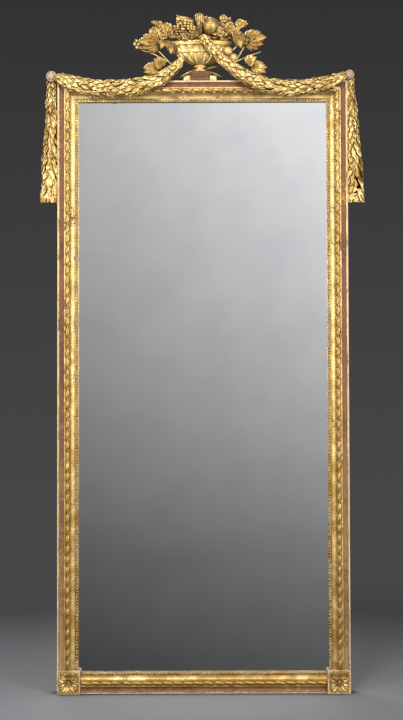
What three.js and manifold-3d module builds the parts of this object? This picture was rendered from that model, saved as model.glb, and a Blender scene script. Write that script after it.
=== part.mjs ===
// Giltwood trumeau mirror, standing on the floor: a moulded frame round one mirror plate, a panelled back,
// carved corner blocks, laurel garlands and a crest with an urn of fruit and flowers.
//
// Millimetres. X runs to the right, Y to the back and Z up. The front faces -Y. The origin is the middle of
// the bottom rail's underside, halfway through the frame timber.

import * as THREE from "three";
import { mergeVertices } from "three/addons/utils/BufferGeometryUtils.js";
import Module from "manifold-3d";

// ---------------------------------------------------------------------------------------------- sizes

// Clearance between pieces that touch
const gap = 0.3;

// Clear opening of the frame
const sightWidth = 875;
const sightHeight = 2000;

// Bands of the moulding, from the outer edge to the sight edge
const outerFillet = 5.5;
const boleBand = 18;
const innerFillet = 5;
const twistSeat = 14;
const scoopBand = 19;
const pearlSeat = 11.5;

// Levels of the moulding
const timberDepth = 50;
const outerStep = 2;
const boleRecess = 6;
const boleHollow = 2.5;
const twistStep = 1;
const scoopDrop = 12;
const pearlStep = 3;

// Rebates behind the sight edge, for the mirror plate and for the panelled back
const lipThickness = 11;
const glassRebate = 10;
const backRebate = 26;
const backSeat = 12;

// Carved strips laid on the moulding
const twistPitch = 36;
const twistHeight = 7;
const pearlDiameter = 9;

// Corner blocks and their rosettes
const blockOverhang = 7;
const blockProud = 10;
const blockBorder = 11;
const blockSink = 4;
const rosetteRadius = 25;
const rosetteHeight = 9;
const rosettePetals = 8;
const rosetteEye = 4;

// Joints of the frame
const tenonLength = 32;
const tenonWidth = 28;
const tenonThickness = 14;
const tenonInset = 12;
const keyLeg = 46;
const keyThickness = 5;

// Mirror plate and the glue blocks behind it
const glassThickness = 5;
const glassPlay = 1;
const glueBlockLength = 70;
const glueBlockReach = 14;

// Panelled back
const backThickness = 11;
const backStileWidth = 90;
const backRailWidth = 100;
const panelThickness = 5;
const grooveDepth = 10;

// Hanging rings
const hangerDrop = 330;
const strapWidth = 22;
const strapThickness = 2;
const strapLength = 44;
const knuckleRadius = 5;
const ringWire = 5;
const ringPlay = 0.45;
const ringInnerWidth = 30;
const ringInnerLength = 26;

// Buttons that the garlands hang from
const leftButtonOut = 21;
const leftButtonUp = 15;
const leftButtonRadius = 19;
const rightButtonOut = 8;
const rightButtonUp = 19;
const rightButtonRadius = 16.5;
const buttonHeight = 13;
const buttonShank = 6;

// Garlands of laurel
const swagLeafPitch = 33;
const dropLeafPitch = 42;
const garlandFlatness = 0.58;
const garlandEnd = 11;
const leftSwagSwell = 17;
const rightSwagSwell = 20;
const swagSag = 45;
const dropLength = 426;
const dropTopWidth = 24;
const dropFootWidth = 61;
const dropFlatness = 0.64;
const dropForward = 14;
const dowelDiameter = 10;
const dowelLength = 34;
const dowelForward = 6;

// Crest
const crestOffset = -8;
const plinthHalfWidth = 58;
const plinthHeight = 17;
const plinthTopHalfWidth = 38;
const plinthCapHalfWidth = 27;
const plinthCapHeight = 19;
const footHeight = 22;
const footRadius = 26;
const bowlHeight = 82;
const bowlRadius = 115;
const bowlGadroons = 9;
const reliefBase = 8;
const reliefShare = 0.3;
const pegDiameter = 12;
const pegLength = 22;
const moundHalfWidth = 98;
const moundHeight = 60;
const pomegranateRadius = 33;
const budRadius = 18.5;
const budHeight = 49;
const tulipRadius = 19;
const tulipLength = 62;
const grapeRadius = 12;
const quinceRadius = 18.5;
const wireDiameter = 4.5;
const braceWidth = 20;
const braceThickness = 4;
const braceDown = 42;
const braceUp = 132;

// ------------------------------------------------------------------------------------- derived places

const railWidth = outerFillet + boleBand + innerFillet + twistSeat + scoopBand + pearlSeat;
const frameWidth = sightWidth + 2 * railWidth;
const frameHeight = sightHeight + 2 * railWidth;
const sightX = sightWidth / 2;
const frameX = frameWidth / 2;
const backY = timberDepth / 2;
const frontY = -backY;
const twistFrontY = frontY + twistStep - gap - twistHeight;
const pearlLevel = timberDepth - scoopDrop - pearlStep;
const glassFace = pearlLevel - lipThickness;
const twistAt = outerFillet + boleBand + innerFillet;
const blockWidth = railWidth + blockOverhang;
const blockFrontY = frontY - blockProud;
const plinthTop = frameHeight + gap + plinthHeight + plinthCapHeight;
const footTop = plinthTop + gap + footHeight;
const bowlTop = footTop + gap + bowlHeight;
const bowlFrontY = -(reliefBase + reliefShare * bowlRadius);

// ------------------------------------------------------------------------------------------ materials

const gilt = { color: 0xd8a95a, roughness: 0.38, metalness: 0.85 };
const wornGilt = { color: 0xbe955c, roughness: 0.5, metalness: 0.6 };
const bareTimber = { color: 0x9a7a55, roughness: 0.85, metalness: 0 };
const silvering = { color: 0xd9dcdc, roughness: 0.03, metalness: 1 };
const iron = { color: 0x3b3a39, roughness: 0.6, metalness: 0.8 };

// --------------------------------------------------------------------------------- solids and booleans

const wasm = await Module();
wasm.setup();

const trumeau = new THREE.Group();

function add(name, geometry, look) {
  const mesh = new THREE.Mesh(geometry, new THREE.MeshStandardMaterial(look));
  mesh.name = name;
  trumeau.add(mesh);
  return mesh;
}

// The closed geometry with its faces turned outwards, whatever mirroring or ring order made it.
function outward(geometry) {
  const bare = geometry.index ? geometry.toNonIndexed() : geometry.clone();
  bare.deleteAttribute("normal");
  bare.deleteAttribute("uv");
  const p = bare.attributes.position.array;
  let volume = 0;
  for (let i = 0; i < p.length; i += 9) {
    const a = new THREE.Vector3(p[i], p[i + 1], p[i + 2]);
    const b = new THREE.Vector3(p[i + 3], p[i + 4], p[i + 5]);
    const c = new THREE.Vector3(p[i + 6], p[i + 7], p[i + 8]);
    volume += a.dot(b.cross(c));
  }
  const merged = mergeVertices(bare, 1e-4);
  const index = Uint32Array.from(merged.index.array);
  if (volume < 0) {
    for (let i = 0; i < index.length; i += 3) {
      [index[i + 1], index[i + 2]] = [index[i + 2], index[i + 1]];
    }
  }
  merged.setIndex(new THREE.BufferAttribute(index, 1));
  merged.computeVertexNormals();
  return merged;
}

function solid(geometry) {
  const closed = outward(geometry);
  const mesh = new wasm.Mesh({
    numProp: 3,
    vertProperties: closed.attributes.position.array,
    triVerts: closed.index.array,
  });
  return new wasm.Manifold(mesh);
}

function geometryOf(body) {
  const mesh = body.getMesh();
  const geometry = new THREE.BufferGeometry();
  geometry.setAttribute("position", new THREE.BufferAttribute(mesh.vertProperties, 3));
  geometry.setIndex(new THREE.BufferAttribute(mesh.triVerts, 1));
  geometry.computeVertexNormals();
  return geometry;
}

function join(first, ...others) {
  return geometryOf(others.reduce((sum, g) => sum.add(solid(g)), solid(first)));
}

function cut(first, ...others) {
  return geometryOf(others.reduce((rest, g) => rest.subtract(solid(g)), solid(first)));
}

// A box between two corners
function box(x0, x1, y0, y1, z0, z1) {
  const geometry = new THREE.BoxGeometry(Math.abs(x1 - x0), Math.abs(y1 - y0), Math.abs(z1 - z0));
  return geometry.translate((x0 + x1) / 2, (y0 + y1) / 2, (z0 + z1) / 2);
}

// A rod between two points
function rod(from, to, diameter, sides = 12) {
  const way = new THREE.Vector3().subVectors(to, from);
  const geometry = new THREE.CylinderGeometry(diameter / 2, diameter / 2, way.length(), sides);
  const turn = new THREE.Quaternion().setFromUnitVectors(
    new THREE.Vector3(0, 1, 0),
    way.clone().normalize(),
  );
  const middle = new THREE.Vector3().addVectors(from, to).multiplyScalar(0.5);
  return geometry.applyQuaternion(turn).translate(middle.x, middle.y, middle.z);
}

// A ball squashed to three half axes
function ball(centre, half, around = 14, down = 10) {
  const geometry = new THREE.SphereGeometry(1, around, down);
  return geometry.scale(half.x, half.y, half.z).translate(centre.x, centre.y, centre.z);
}

function point(x, y, z) {
  return new THREE.Vector3(x, y, z);
}

// A closed skin over rings of points, capped at both ends or run round into itself
function skin(rings, looped = false) {
  const n = rings[0].length;
  const position = rings.flat().flatMap((p) => [p.x, p.y, p.z]);
  const index = [];
  const steps = looped ? rings.length : rings.length - 1;
  for (let k = 0; k < steps; k++) {
    const low = k * n;
    const high = ((k + 1) % rings.length) * n;
    for (let i = 0; i < n; i++) {
      const j = (i + 1) % n;
      index.push(low + i, low + j, high + j, low + i, high + j, high + i);
    }
  }
  if (!looped) {
    for (const [ring, first] of [[rings[0], true], [rings.at(-1), false]]) {
      const centre = ring.reduce((sum, p) => sum.add(p), new THREE.Vector3()).divideScalar(n);
      const hub = position.length / 3;
      const start = first ? 0 : (rings.length - 1) * n;
      position.push(centre.x, centre.y, centre.z);
      for (let i = 0; i < n; i++) {
        const j = (i + 1) % n;
        index.push(hub, start + (first ? j : i), start + (first ? i : j));
      }
    }
  }
  const geometry = new THREE.BufferGeometry();
  geometry.setAttribute("position", new THREE.Float32BufferAttribute(position, 3));
  geometry.setIndex(index);
  return outward(geometry);
}

// Turns a geometry about the Y axis, so that it leans in the plane of the frame, and moves it
function lean(geometry, degrees, at) {
  return geometry.rotateY(THREE.MathUtils.degToRad(degrees)).translate(at.x, at.y, at.z);
}

// -------------------------------------------------------------------------------------- frame moulding

// Section of the moulding: x from the outer edge to the sight edge, y from the back to the front
function railSection() {
  const front = timberDepth;
  const s = new THREE.Shape();
  let u = 0;
  s.moveTo(0, 0);
  s.lineTo(0, front - outerStep);
  u += outerFillet;
  s.lineTo(u, front - outerStep);
  s.lineTo(u, front - boleRecess);
  s.quadraticCurveTo(u + boleBand / 2, front - boleRecess - 2 * boleHollow, u + boleBand, front - boleRecess);
  u += boleBand;
  s.lineTo(u, front);
  u += innerFillet;
  s.lineTo(u, front);
  s.lineTo(u, front - twistStep);
  u += twistSeat;
  s.lineTo(u, front - twistStep);
  s.quadraticCurveTo(u + scoopBand * 0.3, front - scoopDrop, u + scoopBand, front - scoopDrop);
  u += scoopBand;
  s.lineTo(u, pearlLevel);
  s.lineTo(railWidth, pearlLevel);
  s.lineTo(railWidth, glassFace);
  s.lineTo(railWidth - glassRebate, glassFace);
  s.lineTo(railWidth - glassRebate, backSeat);
  s.lineTo(railWidth - backRebate, backSeat);
  s.lineTo(railWidth - backRebate, 0);
  s.closePath();
  return s;
}

// The places of the four sides: across is the way from the outer edge to the sight edge, along is the
// way the moulding runs, and corner is where both start at the back.
const sides = {
  left: { across: point(1, 0, 0), along: point(0, 0, 1), corner: point(-frameX, backY, 0) },
  right: { across: point(-1, 0, 0), along: point(0, 0, 1), corner: point(frameX, backY, 0) },
  top: { across: point(0, 0, -1), along: point(1, 0, 0), corner: point(0, backY, frameHeight) },
  bottom: { across: point(0, 0, 1), along: point(1, 0, 0), corner: point(0, backY, 0) },
};

// Lays a geometry, drawn as x across, y to the front and z along, on one side of the frame
function lay(geometry, side) {
  const { across, along, corner } = sides[side];
  const basis = new THREE.Matrix4().makeBasis(across, point(0, -1, 0), along);
  return outward(geometry.applyMatrix4(basis.setPosition(corner)));
}

function moulding(section, side, from, to, curveSegments) {
  const options = { depth: to - from, bevelEnabled: false, curveSegments };
  return lay(new THREE.ExtrudeGeometry(section, options).translate(0, 0, from), side);
}

// A wedge that takes away what lies past the mitre of a top corner: right is 1 or -1, and keepRail says
// which of the two pieces stays.
function mitre(right, keepRail) {
  const past = 40;
  const shift = (keepRail ? -gap : gap) / 2 / Math.SQRT2;
  const low = [sightX - past + shift, frameHeight - railWidth - past - shift];
  const high = [frameX + past + shift, frameHeight + past - shift];
  const far = keepRail ? [high[0], low[1]] : [low[0], high[1]];
  const s = new THREE.Shape();
  s.moveTo(right * low[0], low[1]);
  s.lineTo(right * high[0], high[1]);
  s.lineTo(right * far[0], far[1]);
  s.closePath();
  const depth = 2 * timberDepth;
  const wedge = new THREE.ExtrudeGeometry(s, { depth, bevelEnabled: false });
  return wedge.rotateX(Math.PI / 2).translate(0, timberDepth, 0);
}

// The loose key across a top mitre, or with a play the slot that takes it
function mitreKey(right, play) {
  const reach = keyLeg + play * 2;
  const out = play;
  const s = new THREE.Shape();
  s.moveTo(right * (frameX + out), frameHeight + out);
  s.lineTo(right * (frameX + out), frameHeight - reach);
  s.lineTo(right * (frameX - reach), frameHeight + out);
  s.closePath();
  const depth = keyThickness + 2 * play;
  const slip = new THREE.ExtrudeGeometry(s, { depth, bevelEnabled: false });
  return slip.rotateX(Math.PI / 2).translate(0, depth / 2, 0);
}

// Tenon of a stile's foot or of a rail's end, drawn across, forward and along like the moulding
function tenon(play) {
  const middle = timberDepth / 2;
  const half = tenonThickness / 2 + play;
  const lowest = tenonInset - play;
  return box(lowest, tenonInset + tenonWidth + play, middle - half, middle + half, -tenonLength - play, 1);
}

function buildFrame() {
  const section = railSection();
  const foot = blockWidth + gap;
  for (const side of ["left", "right"]) {
    const hand = side === "left" ? -1 : 1;
    const tongue = lay(tenon(0).translate(0, 0, foot), side);
    const stile = join(moulding(section, side, foot, frameHeight, 5), tongue);
    add(`${side}_stile`, cut(stile, mitre(hand, false), mitreKey(hand, gap), dropDowel(hand, gap)), wornGilt);
    add(`${side}_mitre_key`, outward(mitreKey(hand, 0)), bareTimber);
  }
  const rail = moulding(section, "top", -frameX, frameX, 5);
  const slots = [mitreKey(1, gap), mitreKey(-1, gap)];
  add("top_rail", cut(rail, mitre(1, true), mitre(-1, true), ...slots, brace(gap)), wornGilt);

  const end = frameX - blockWidth - gap;
  const leftTongue = lay(tenon(0).translate(0, 0, -end), "bottom");
  const rightTongue = lay(tenon(0).scale(1, 1, -1).translate(0, 0, end), "bottom");
  add("bottom_rail", join(moulding(section, "bottom", -end, end, 5), leftTongue, rightTongue), wornGilt);
}

// Half-round strip of pearls, or the twisted ribbon, laid on its seat
function pearlSection() {
  const radius = pearlDiameter / 2;
  const centre = railWidth - pearlSeat / 2;
  const seat = pearlLevel + gap;
  const s = new THREE.Shape();
  s.moveTo(centre - radius, seat);
  s.lineTo(centre - radius, seat + radius * 0.4);
  s.quadraticCurveTo(centre - radius, seat + radius, centre, seat + radius * 1.15);
  s.quadraticCurveTo(centre + radius, seat + radius, centre + radius, seat + radius * 0.4);
  s.lineTo(centre + radius, seat);
  s.closePath();
  return s;
}

// The ribbon winds round a rod: its ridge crosses the strip once a turn and slips back under itself
function twistStrip(side, from, to) {
  const low = twistAt + gap;
  const width = twistSeat - 2 * gap;
  const seat = timberDepth - twistStep + gap;
  const turns = Math.max(1, Math.round((to - from) / twistPitch));
  const pitch = (to - from) / turns;
  const rings = [];
  const ring = (share, z) => {
    const ridge = low + width * share;
    rings.push([point(low, seat, z), point(low + width, seat, z), point(ridge, seat + twistHeight, z)]);
  };
  for (let i = 0; i < turns; i++) {
    ring(0.2, from + i * pitch);
    ring(0.8, from + (i + 0.7) * pitch);
  }
  ring(0.2, to);
  return lay(skin(rings), side);
}

function buildStrips() {
  const foot = blockWidth + gap;
  const end = frameX - blockWidth - gap;
  const mitres = { left: [mitre(-1, false)], right: [mitre(1, false)], top: [mitre(1, true), mitre(-1, true)] };
  const runs = { left: [foot, frameHeight], right: [foot, frameHeight], top: [-frameX, frameX], bottom: [-end, end] };
  for (const side of Object.keys(runs)) {
    const [from, to] = runs[side];
    const pearls = moulding(pearlSection(), side, from, to, 3);
    const twist = twistStrip(side, from, to);
    const cutters = mitres[side] ?? [];
    add(`${side}_ribbon_twist`, cutters.length ? cut(twist, ...cutters) : twist, gilt);
    add(`${side}_pearl_strip`, cutters.length ? cut(pearls, ...cutters) : pearls, gilt);
  }
}

// --------------------------------------------------------------------------------------- corner blocks

// Petals round an eye, on a disc that faces the front. Each level is a share of the radius, a share of
// the height and how far the gaps between the petals sink.
function petalDisc(radius, height, petals, back, levels) {
  const steps = petals * 2;
  const rings = levels.map(([share, rise, lobe]) => {
    const ring = [];
    for (let i = 0; i < steps; i++) {
      const a = (2 * Math.PI * i) / steps;
      const r = radius * (share - lobe * Math.abs(Math.cos((petals * a) / 2)) ** 3);
      ring.push(point(r * Math.sin(a), back - rise * height, r * Math.cos(a)));
    }
    return ring;
  });
  return skin(rings);
}

function rosette(radius, height, petals, eye, back) {
  return petalDisc(radius, height, petals, back, [
    [eye / radius, 0.2, 0],
    [eye / radius + 0.06, 0.75, 0],
    [0.36, 0.85, 0],
    [0.42, 0.5, 0.02],
    [0.72, 1, 0.1],
    [0.97, 0.62, 0.16],
    [0.9, 0.12, 0.16],
    [0.6, 0, 0],
  ]);
}

function buildCornerBlocks() {
  const top = blockWidth;
  const play = gap;
  for (const side of ["left", "right"]) {
    const hand = side === "left" ? -1 : 1;
    const inner = frameX - blockWidth;
    const body = box(hand * inner, hand * frameX, blockFrontY, backY, 0, top);
    const sunk = box(
      hand * (inner + blockBorder),
      hand * (frameX - blockBorder),
      blockFrontY - 1,
      blockFrontY + blockSink,
      blockBorder,
      top - blockBorder,
    );
    const rebateY = backY - glassFace;
    const glassCorner = box(
      hand * (inner - 1),
      hand * (sightX + glassRebate),
      rebateY,
      backY + 1,
      railWidth - glassRebate,
      top + 1,
    );
    const backCorner = box(
      hand * (inner - 1),
      hand * (sightX + backRebate),
      backY - backSeat,
      backY + 1,
      railWidth - backRebate,
      top + 1,
    );
    const stileMortise = lay(tenon(play).translate(0, 0, blockWidth + gap), side);
    const railEnd = frameX - blockWidth - gap;
    const railTenon = tenon(play).translate(0, 0, -railEnd);
    const railMortise = lay(side === "left" ? railTenon : railTenon.scale(1, 1, -1), "bottom");
    const block = cut(body, sunk, glassCorner, backCorner, stileMortise, railMortise);
    add(`${side}_corner_block`, block, wornGilt);

    const seat = blockFrontY + blockSink - gap;
    const carving = rosette(rosetteRadius, rosetteHeight, rosettePetals, rosetteEye, seat);
    const middle = hand * (frameX - blockWidth / 2);
    add(`${side}_rosette`, carving.translate(middle, 0, top / 2), gilt);
  }
}

// ------------------------------------------------------------------------------------- glass and back

function buildGlass() {
  const reach = glassRebate - glassPlay;
  const face = backY - glassFace + gap;
  const low = railWidth - glassRebate + gap;
  const high = railWidth + sightHeight + reach;
  add("mirror_plate", box(-sightX - reach, sightX + reach, face, face + glassThickness, low, high), silvering);

  const near = face + glassThickness + gap;
  const far = backY - backSeat;
  const outer = sightX + glassRebate - gap;
  const half = glueBlockLength / 2;
  const inward = (edge) => edge - Math.sign(edge) * glueBlockReach;
  for (const [hand, name] of [[-1, "left"], [1, "right"]]) {
    for (const [share, place] of [[0.22, "lower"], [0.78, "upper"]]) {
      const z = railWidth + sightHeight * share;
      const edge = hand * outer;
      add(`glue_block_${name}_${place}`, box(inward(edge), edge, near, far, z - half, z + half), bareTimber);
    }
  }
  const bottom = railWidth - glassRebate + gap;
  const top = railWidth + sightHeight + glassRebate - gap;
  add("glue_block_bottom", box(-half, half, near, far, bottom, bottom + glueBlockReach), bareTimber);
  add("glue_block_top", box(-half, half, near, far, top - glueBlockReach, top), bareTimber);
}

function buildBack() {
  const outer = sightX + backRebate - glassPlay;
  const low = railWidth - backRebate + gap;
  const high = railWidth + sightHeight + backRebate - glassPlay;
  const near = backY - backSeat + gap;
  const far = near + backThickness;
  const middle = (near + far) / 2;
  const halfPanel = panelThickness / 2;
  const halfGroove = halfPanel + gap;
  const inner = outer - backStileWidth;
  const groove = (x0, x1, z0, z1) => box(x0, x1, middle - halfGroove, middle + halfGroove, z0, z1);

  for (const [hand, name] of [[-1, "left"], [1, "right"]]) {
    const stile = box(hand * inner, hand * outer, near, far, low, high);
    const slot = groove(hand * (inner - 1), hand * (inner + grooveDepth), low - 1, high + 1);
    add(`back_${name}_stile`, cut(stile, slot), bareTimber);
  }

  const centre = (low + high) / 2;
  const half = backRailWidth / 2;
  const rails = [
    ["back_bottom_rail", low, low + backRailWidth, false, true],
    ["back_middle_rail", centre - half, centre + half, true, true],
    ["back_top_rail", high - backRailWidth, high, true, false],
  ];
  const shoulder = inner - gap;
  const tongue = shoulder + grooveDepth;
  for (const [name, z0, z1, below, above] of rails) {
    const rail = box(-shoulder, shoulder, near, far, z0, z1);
    const tongues = box(-tongue, tongue, middle - halfPanel, middle + halfPanel, z0, z1);
    const slots = [];
    if (below) slots.push(groove(-shoulder - 20, shoulder + 20, z0 - 1, z0 + grooveDepth));
    if (above) slots.push(groove(-shoulder - 20, shoulder + 20, z1 - grooveDepth, z1 + 1));
    add(name, cut(join(rail, tongues), ...slots), bareTimber);
  }

  const edge = inner + grooveDepth - gap;
  const panels = [
    ["back_lower_panel", low + backRailWidth, centre - half],
    ["back_upper_panel", centre + half, high - backRailWidth],
  ];
  for (const [name, z0, z1] of panels) {
    const deep = grooveDepth - gap;
    add(name, box(-edge, edge, middle - halfPanel, middle + halfPanel, z0 - deep, z1 + deep), bareTimber);
  }
}

// -------------------------------------------------------------------------------------- hanging rings

// An iron strap folded round the straight bar of a D-shaped ring, which hangs over it
function buildHangers() {
  const axisY = backY + gap + knuckleRadius;
  const axisZ = frameHeight - hangerDrop;
  const near = backY + gap;
  const bore = ringWire / 2 + ringPlay;
  const half = ringInnerWidth / 2 + ringWire / 2;
  for (const [hand, name] of [[-1, "left"], [1, "right"]]) {
    const x = hand * (frameX - (railWidth - backRebate) / 2);
    const halfStrap = strapWidth / 2;
    const knuckle = rod(point(x - halfStrap, axisY, axisZ), point(x + halfStrap, axisY, axisZ), 2 * knuckleRadius, 20);
    const leaf = box(x - halfStrap, x + halfStrap, near, near + strapThickness, axisZ - strapLength, axisZ);
    const eye = rod(point(x - strapWidth, axisY, axisZ), point(x + strapWidth, axisY, axisZ), 2 * bore, 16);
    add(`${name}_hanger_strap`, cut(join(knuckle, leaf), eye), iron);

    // The ring: a straight bar in the knuckle, short sides and a half-round bow
    const drop = ringInnerLength - ringInnerWidth / 2 + ringWire / 2;
    const path = [];
    for (const share of [-0.8, -0.27, 0.27, 0.8]) path.push([share * half, 0]);
    path.push([half, -0.2 * half]);
    for (let i = 0; i <= 8; i++) {
      const a = (Math.PI * i) / 8;
      path.push([half * Math.cos(a), -drop - half * Math.sin(a) + 0.01]);
    }
    path.push([-half, -0.2 * half]);
    const rings = path.map(([px, pz], i) => {
      const [ax, az] = path[(i + path.length - 1) % path.length];
      const [bx, bz] = path[(i + 1) % path.length];
      const way = new THREE.Vector2(bx - ax, bz - az).normalize();
      const ring = [];
      for (let k = 0; k < 6; k++) {
        const a = (2 * Math.PI * (k + 0.5)) / 6;
        const out = (ringWire / 2) * Math.cos(a);
        ring.push(point(x + px + out * way.y, axisY + (ringWire / 2) * Math.sin(a), axisZ + pz - out * way.x));
      }
      return ring;
    });
    add(`${name}_hanger_ring`, skin(rings, true), iron);
  }
}

// ------------------------------------------------------------------------------------------- garlands

// A garland of laurel: whorls of five leaves overlap along the path, and their tips point to where the
// two runs meet, as a share of the length
function garland(curve, radiusAt, flatness, leafPitch, meet) {
  const whorls = Math.max(2, Math.round(curve.getLength() / leafPitch));
  const leaves = 5;
  const points = 2 * leaves;
  const shape = [
    [0, 0.72, 0.72],
    [0.5, 1, 0.84],
    [0.94, 1.04, 0.76],
  ];
  const rings = [];
  for (let w = 0; w < whorls; w++) {
    const forward = (w + 0.5) / whorls < meet;
    const stations = forward ? shape : shape.map(([at, tip, hollow]) => [1 - at, tip, hollow]).reverse();
    for (const [at, tip, hollow] of stations) {
      const share = (w + at) / whorls;
      const t = curve.getUtoTmapping(Math.min(1, share));
      const p = curve.getPoint(t);
      const way = curve.getTangent(t).setY(0).normalize();
      const side = point(way.z, 0, -way.x);
      const r = radiusAt(t);
      const ring = [];
      for (let i = 0; i < points; i++) {
        const a = (2 * Math.PI * (i + (w % 2))) / points;
        const swell = r * (i % 2 ? hollow : tip);
        const q = p.clone().addScaledVector(side, swell * Math.cos(a));
        ring.push(q.setY(p.y + swell * flatness * Math.sin(a)));
      }
      // The rings keep one point order, whichever leaf of the whorl comes first
      if (w % 2) ring.unshift(ring.pop());
      rings.push(ring);
    }
  }
  return skin(rings);
}

// Half width of each swag along its way from the button: the left one stays full, and the right one
// thins out where it climbs to the urn
function leftSwagRadius(t) {
  return garlandEnd + leftSwagSwell * (1 - Math.abs(2 * t - 1) ** 6);
}

function rightSwagRadius(t) {
  return garlandEnd + rightSwagSwell * Math.abs(Math.sin(Math.PI * t ** 0.75)) ** 0.75;
}

// A cubic swag from a button to the crest. Its depth keeps it just in front of what it lies on.
// frontAt is how far forward that comes.
function swagCurve(from, to, nearHandle, farHandle, radiusAt, frontAt) {
  const flat = new THREE.CubicBezierCurve3(
    from,
    from.clone().add(nearHandle),
    to.clone().add(farHandle),
    to,
  );
  const path = [];
  const steps = 14;
  for (let i = 0; i <= steps; i++) {
    const t = i / steps;
    const p = flat.getPoint(t);
    path.push(p.setY(frontAt(t) - gap - radiusAt(t) * garlandFlatness * 0.985));
  }
  return new THREE.CatmullRomCurve3(path);
}

function button(hand) {
  const left = hand < 0;
  const out = left ? leftButtonOut : rightButtonOut;
  const up = left ? leftButtonUp : rightButtonUp;
  return {
    radius: left ? leftButtonRadius : rightButtonRadius,
    x: hand * (frameX + out),
    z: frameHeight + up,
  };
}

// Dowel between a stile's outer side and the laurel drop on it, or with a play its hole
function dropDowel(hand, play) {
  const z = frameHeight - dropLength * 0.72;
  const half = dowelLength / 2 + play;
  const middle = hand * (frameX + gap / 2);
  const from = point(middle - half, -dowelForward, z);
  const to = point(middle + half, -dowelForward, z);
  return rod(from, to, dowelDiameter + 2 * play, 12);
}

function buildGarlands() {
  for (const [hand, name] of [[-1, "left"], [1, "right"]]) {
    // Drop: it hangs from behind the button to its square foot, flat against the stile's side
    const knob = button(hand);
    const foot = frameHeight - dropLength;
    const width = (t) => THREE.MathUtils.lerp(dropTopWidth, dropFootWidth, t) / 2;
    const line = new THREE.LineCurve3(
      point(knob.x, -dropForward, knob.z + knob.radius * 0.6),
      point(hand * (frameX + width(1) * 0.95), -dropForward, foot),
    );
    const laurel = garland(line, (t) => width(t), dropFlatness, dropLeafPitch, 2);
    const stileSide = box(
      hand * (frameX - dropFootWidth),
      hand * (frameX + gap),
      -timberDepth,
      timberDepth,
      foot - 50,
      frameHeight + 50,
    );
    const shank = knob.radius * 0.5;
    const seat = -dropForward - width(0) * dropFlatness * 0.5;
    const flat = rod(point(knob.x, seat, knob.z), point(knob.x, -timberDepth, knob.z), 2 * (shank + gap), 12);
    add(`${name}_drop`, cut(laurel, stileSide, dropDowel(hand, gap), flat), gilt);
    add(`${name}_drop_dowel`, dropDowel(hand, 0), bareTimber);

    // Button: a turned dome on a shank, over the ends of the two garlands
    const profile = [
      [0, 0],
      [shank, 0],
      [shank, buttonShank],
      [knob.radius * 0.92, buttonShank],
      [knob.radius, buttonShank + buttonHeight * 0.25],
      [knob.radius * 0.85, buttonShank + buttonHeight * 0.7],
      [knob.radius * 0.45, buttonShank + buttonHeight],
      [0, buttonShank + buttonHeight * 0.92],
    ];
    const dome = new THREE.LatheGeometry(profile.map(([r, h]) => new THREE.Vector2(r, h)), 12);
    add(`${name}_button`, outward(dome.rotateX(Math.PI).translate(knob.x, seat - gap, knob.z)), gilt);
  }
}

// Swags: from beside each button, low over the top rail and up to the urn. A play grows one into the
// clearance that its neighbours leave round it.
function leftSwag(play) {
  const knob = button(-1);
  const from = point(knob.x + knob.radius + 4, 0, frameHeight + 10);
  const to = point(crestOffset - plinthHalfWidth - 3, 0, footTop + bowlHeight * 0.29);
  const near = point(100, 0, -swagSag - 10);
  const far = point(-80, 0, -swagSag - 110);
  const path = swagCurve(from, to, near, far, leftSwagRadius, () => twistFrontY);
  return garland(path, (t) => leftSwagRadius(t) + play, garlandFlatness, swagLeafPitch, 0.52);
}

function rightSwag(play) {
  const knob = button(1);
  const from = point(knob.x - knob.radius - 3, 0, frameHeight + 14);
  const to = point(crestOffset + 6, 0, bowlTop + 14);
  const near = point(-95, 0, -swagSag);
  const far = point(180, 0, -swagSag - 215);
  const climb = (t) => THREE.MathUtils.smoothstep(t, 0.55, 0.85);
  const front = (t) => THREE.MathUtils.lerp(twistFrontY, bowlFrontY, climb(t));
  const path = swagCurve(from, to, near, far, rightSwagRadius, front);
  return garland(path, (t) => rightSwagRadius(t) + play, garlandFlatness, swagLeafPitch, 0.55);
}

function buildSwags() {
  add("left_swag", cut(leftSwag(0), lowerPeg(-1, gap)), gilt);
  add("right_swag", cut(rightSwag(0), lowerPeg(1, gap)), gilt);
}

// ---------------------------------------------------------------------------------------------- crest

// One level of a piece carved in half relief: round in front, then straight to a flat back. Lobes swell
// and sink its front; deep is how far they sink, as a share of the radius.
function reliefRing(radius, z, lobes = 0, deep = 0, steps = 24) {
  const ring = [];
  const reach = reliefBase + reliefShare * radius;
  for (let i = 0; i <= steps; i++) {
    const a = (Math.PI * i) / steps;
    const swell = lobes ? 1 - deep * (1 - Math.abs(Math.sin(lobes * a))) : 1;
    ring.push(point(crestOffset - radius * swell * Math.cos(a), -reach * swell * Math.sin(a), z));
  }
  ring.push(point(crestOffset + radius * (lobes ? 1 - deep : 1), backY, z));
  ring.push(point(crestOffset - radius * (lobes ? 1 - deep : 1), backY, z));
  return ring;
}

function peg(z, play) {
  const from = point(crestOffset, 5, z - pegLength / 2 - play);
  const to = point(crestOffset, 5, z + pegLength / 2 + play);
  return rod(from, to, pegDiameter + 2 * play, 12);
}

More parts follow.
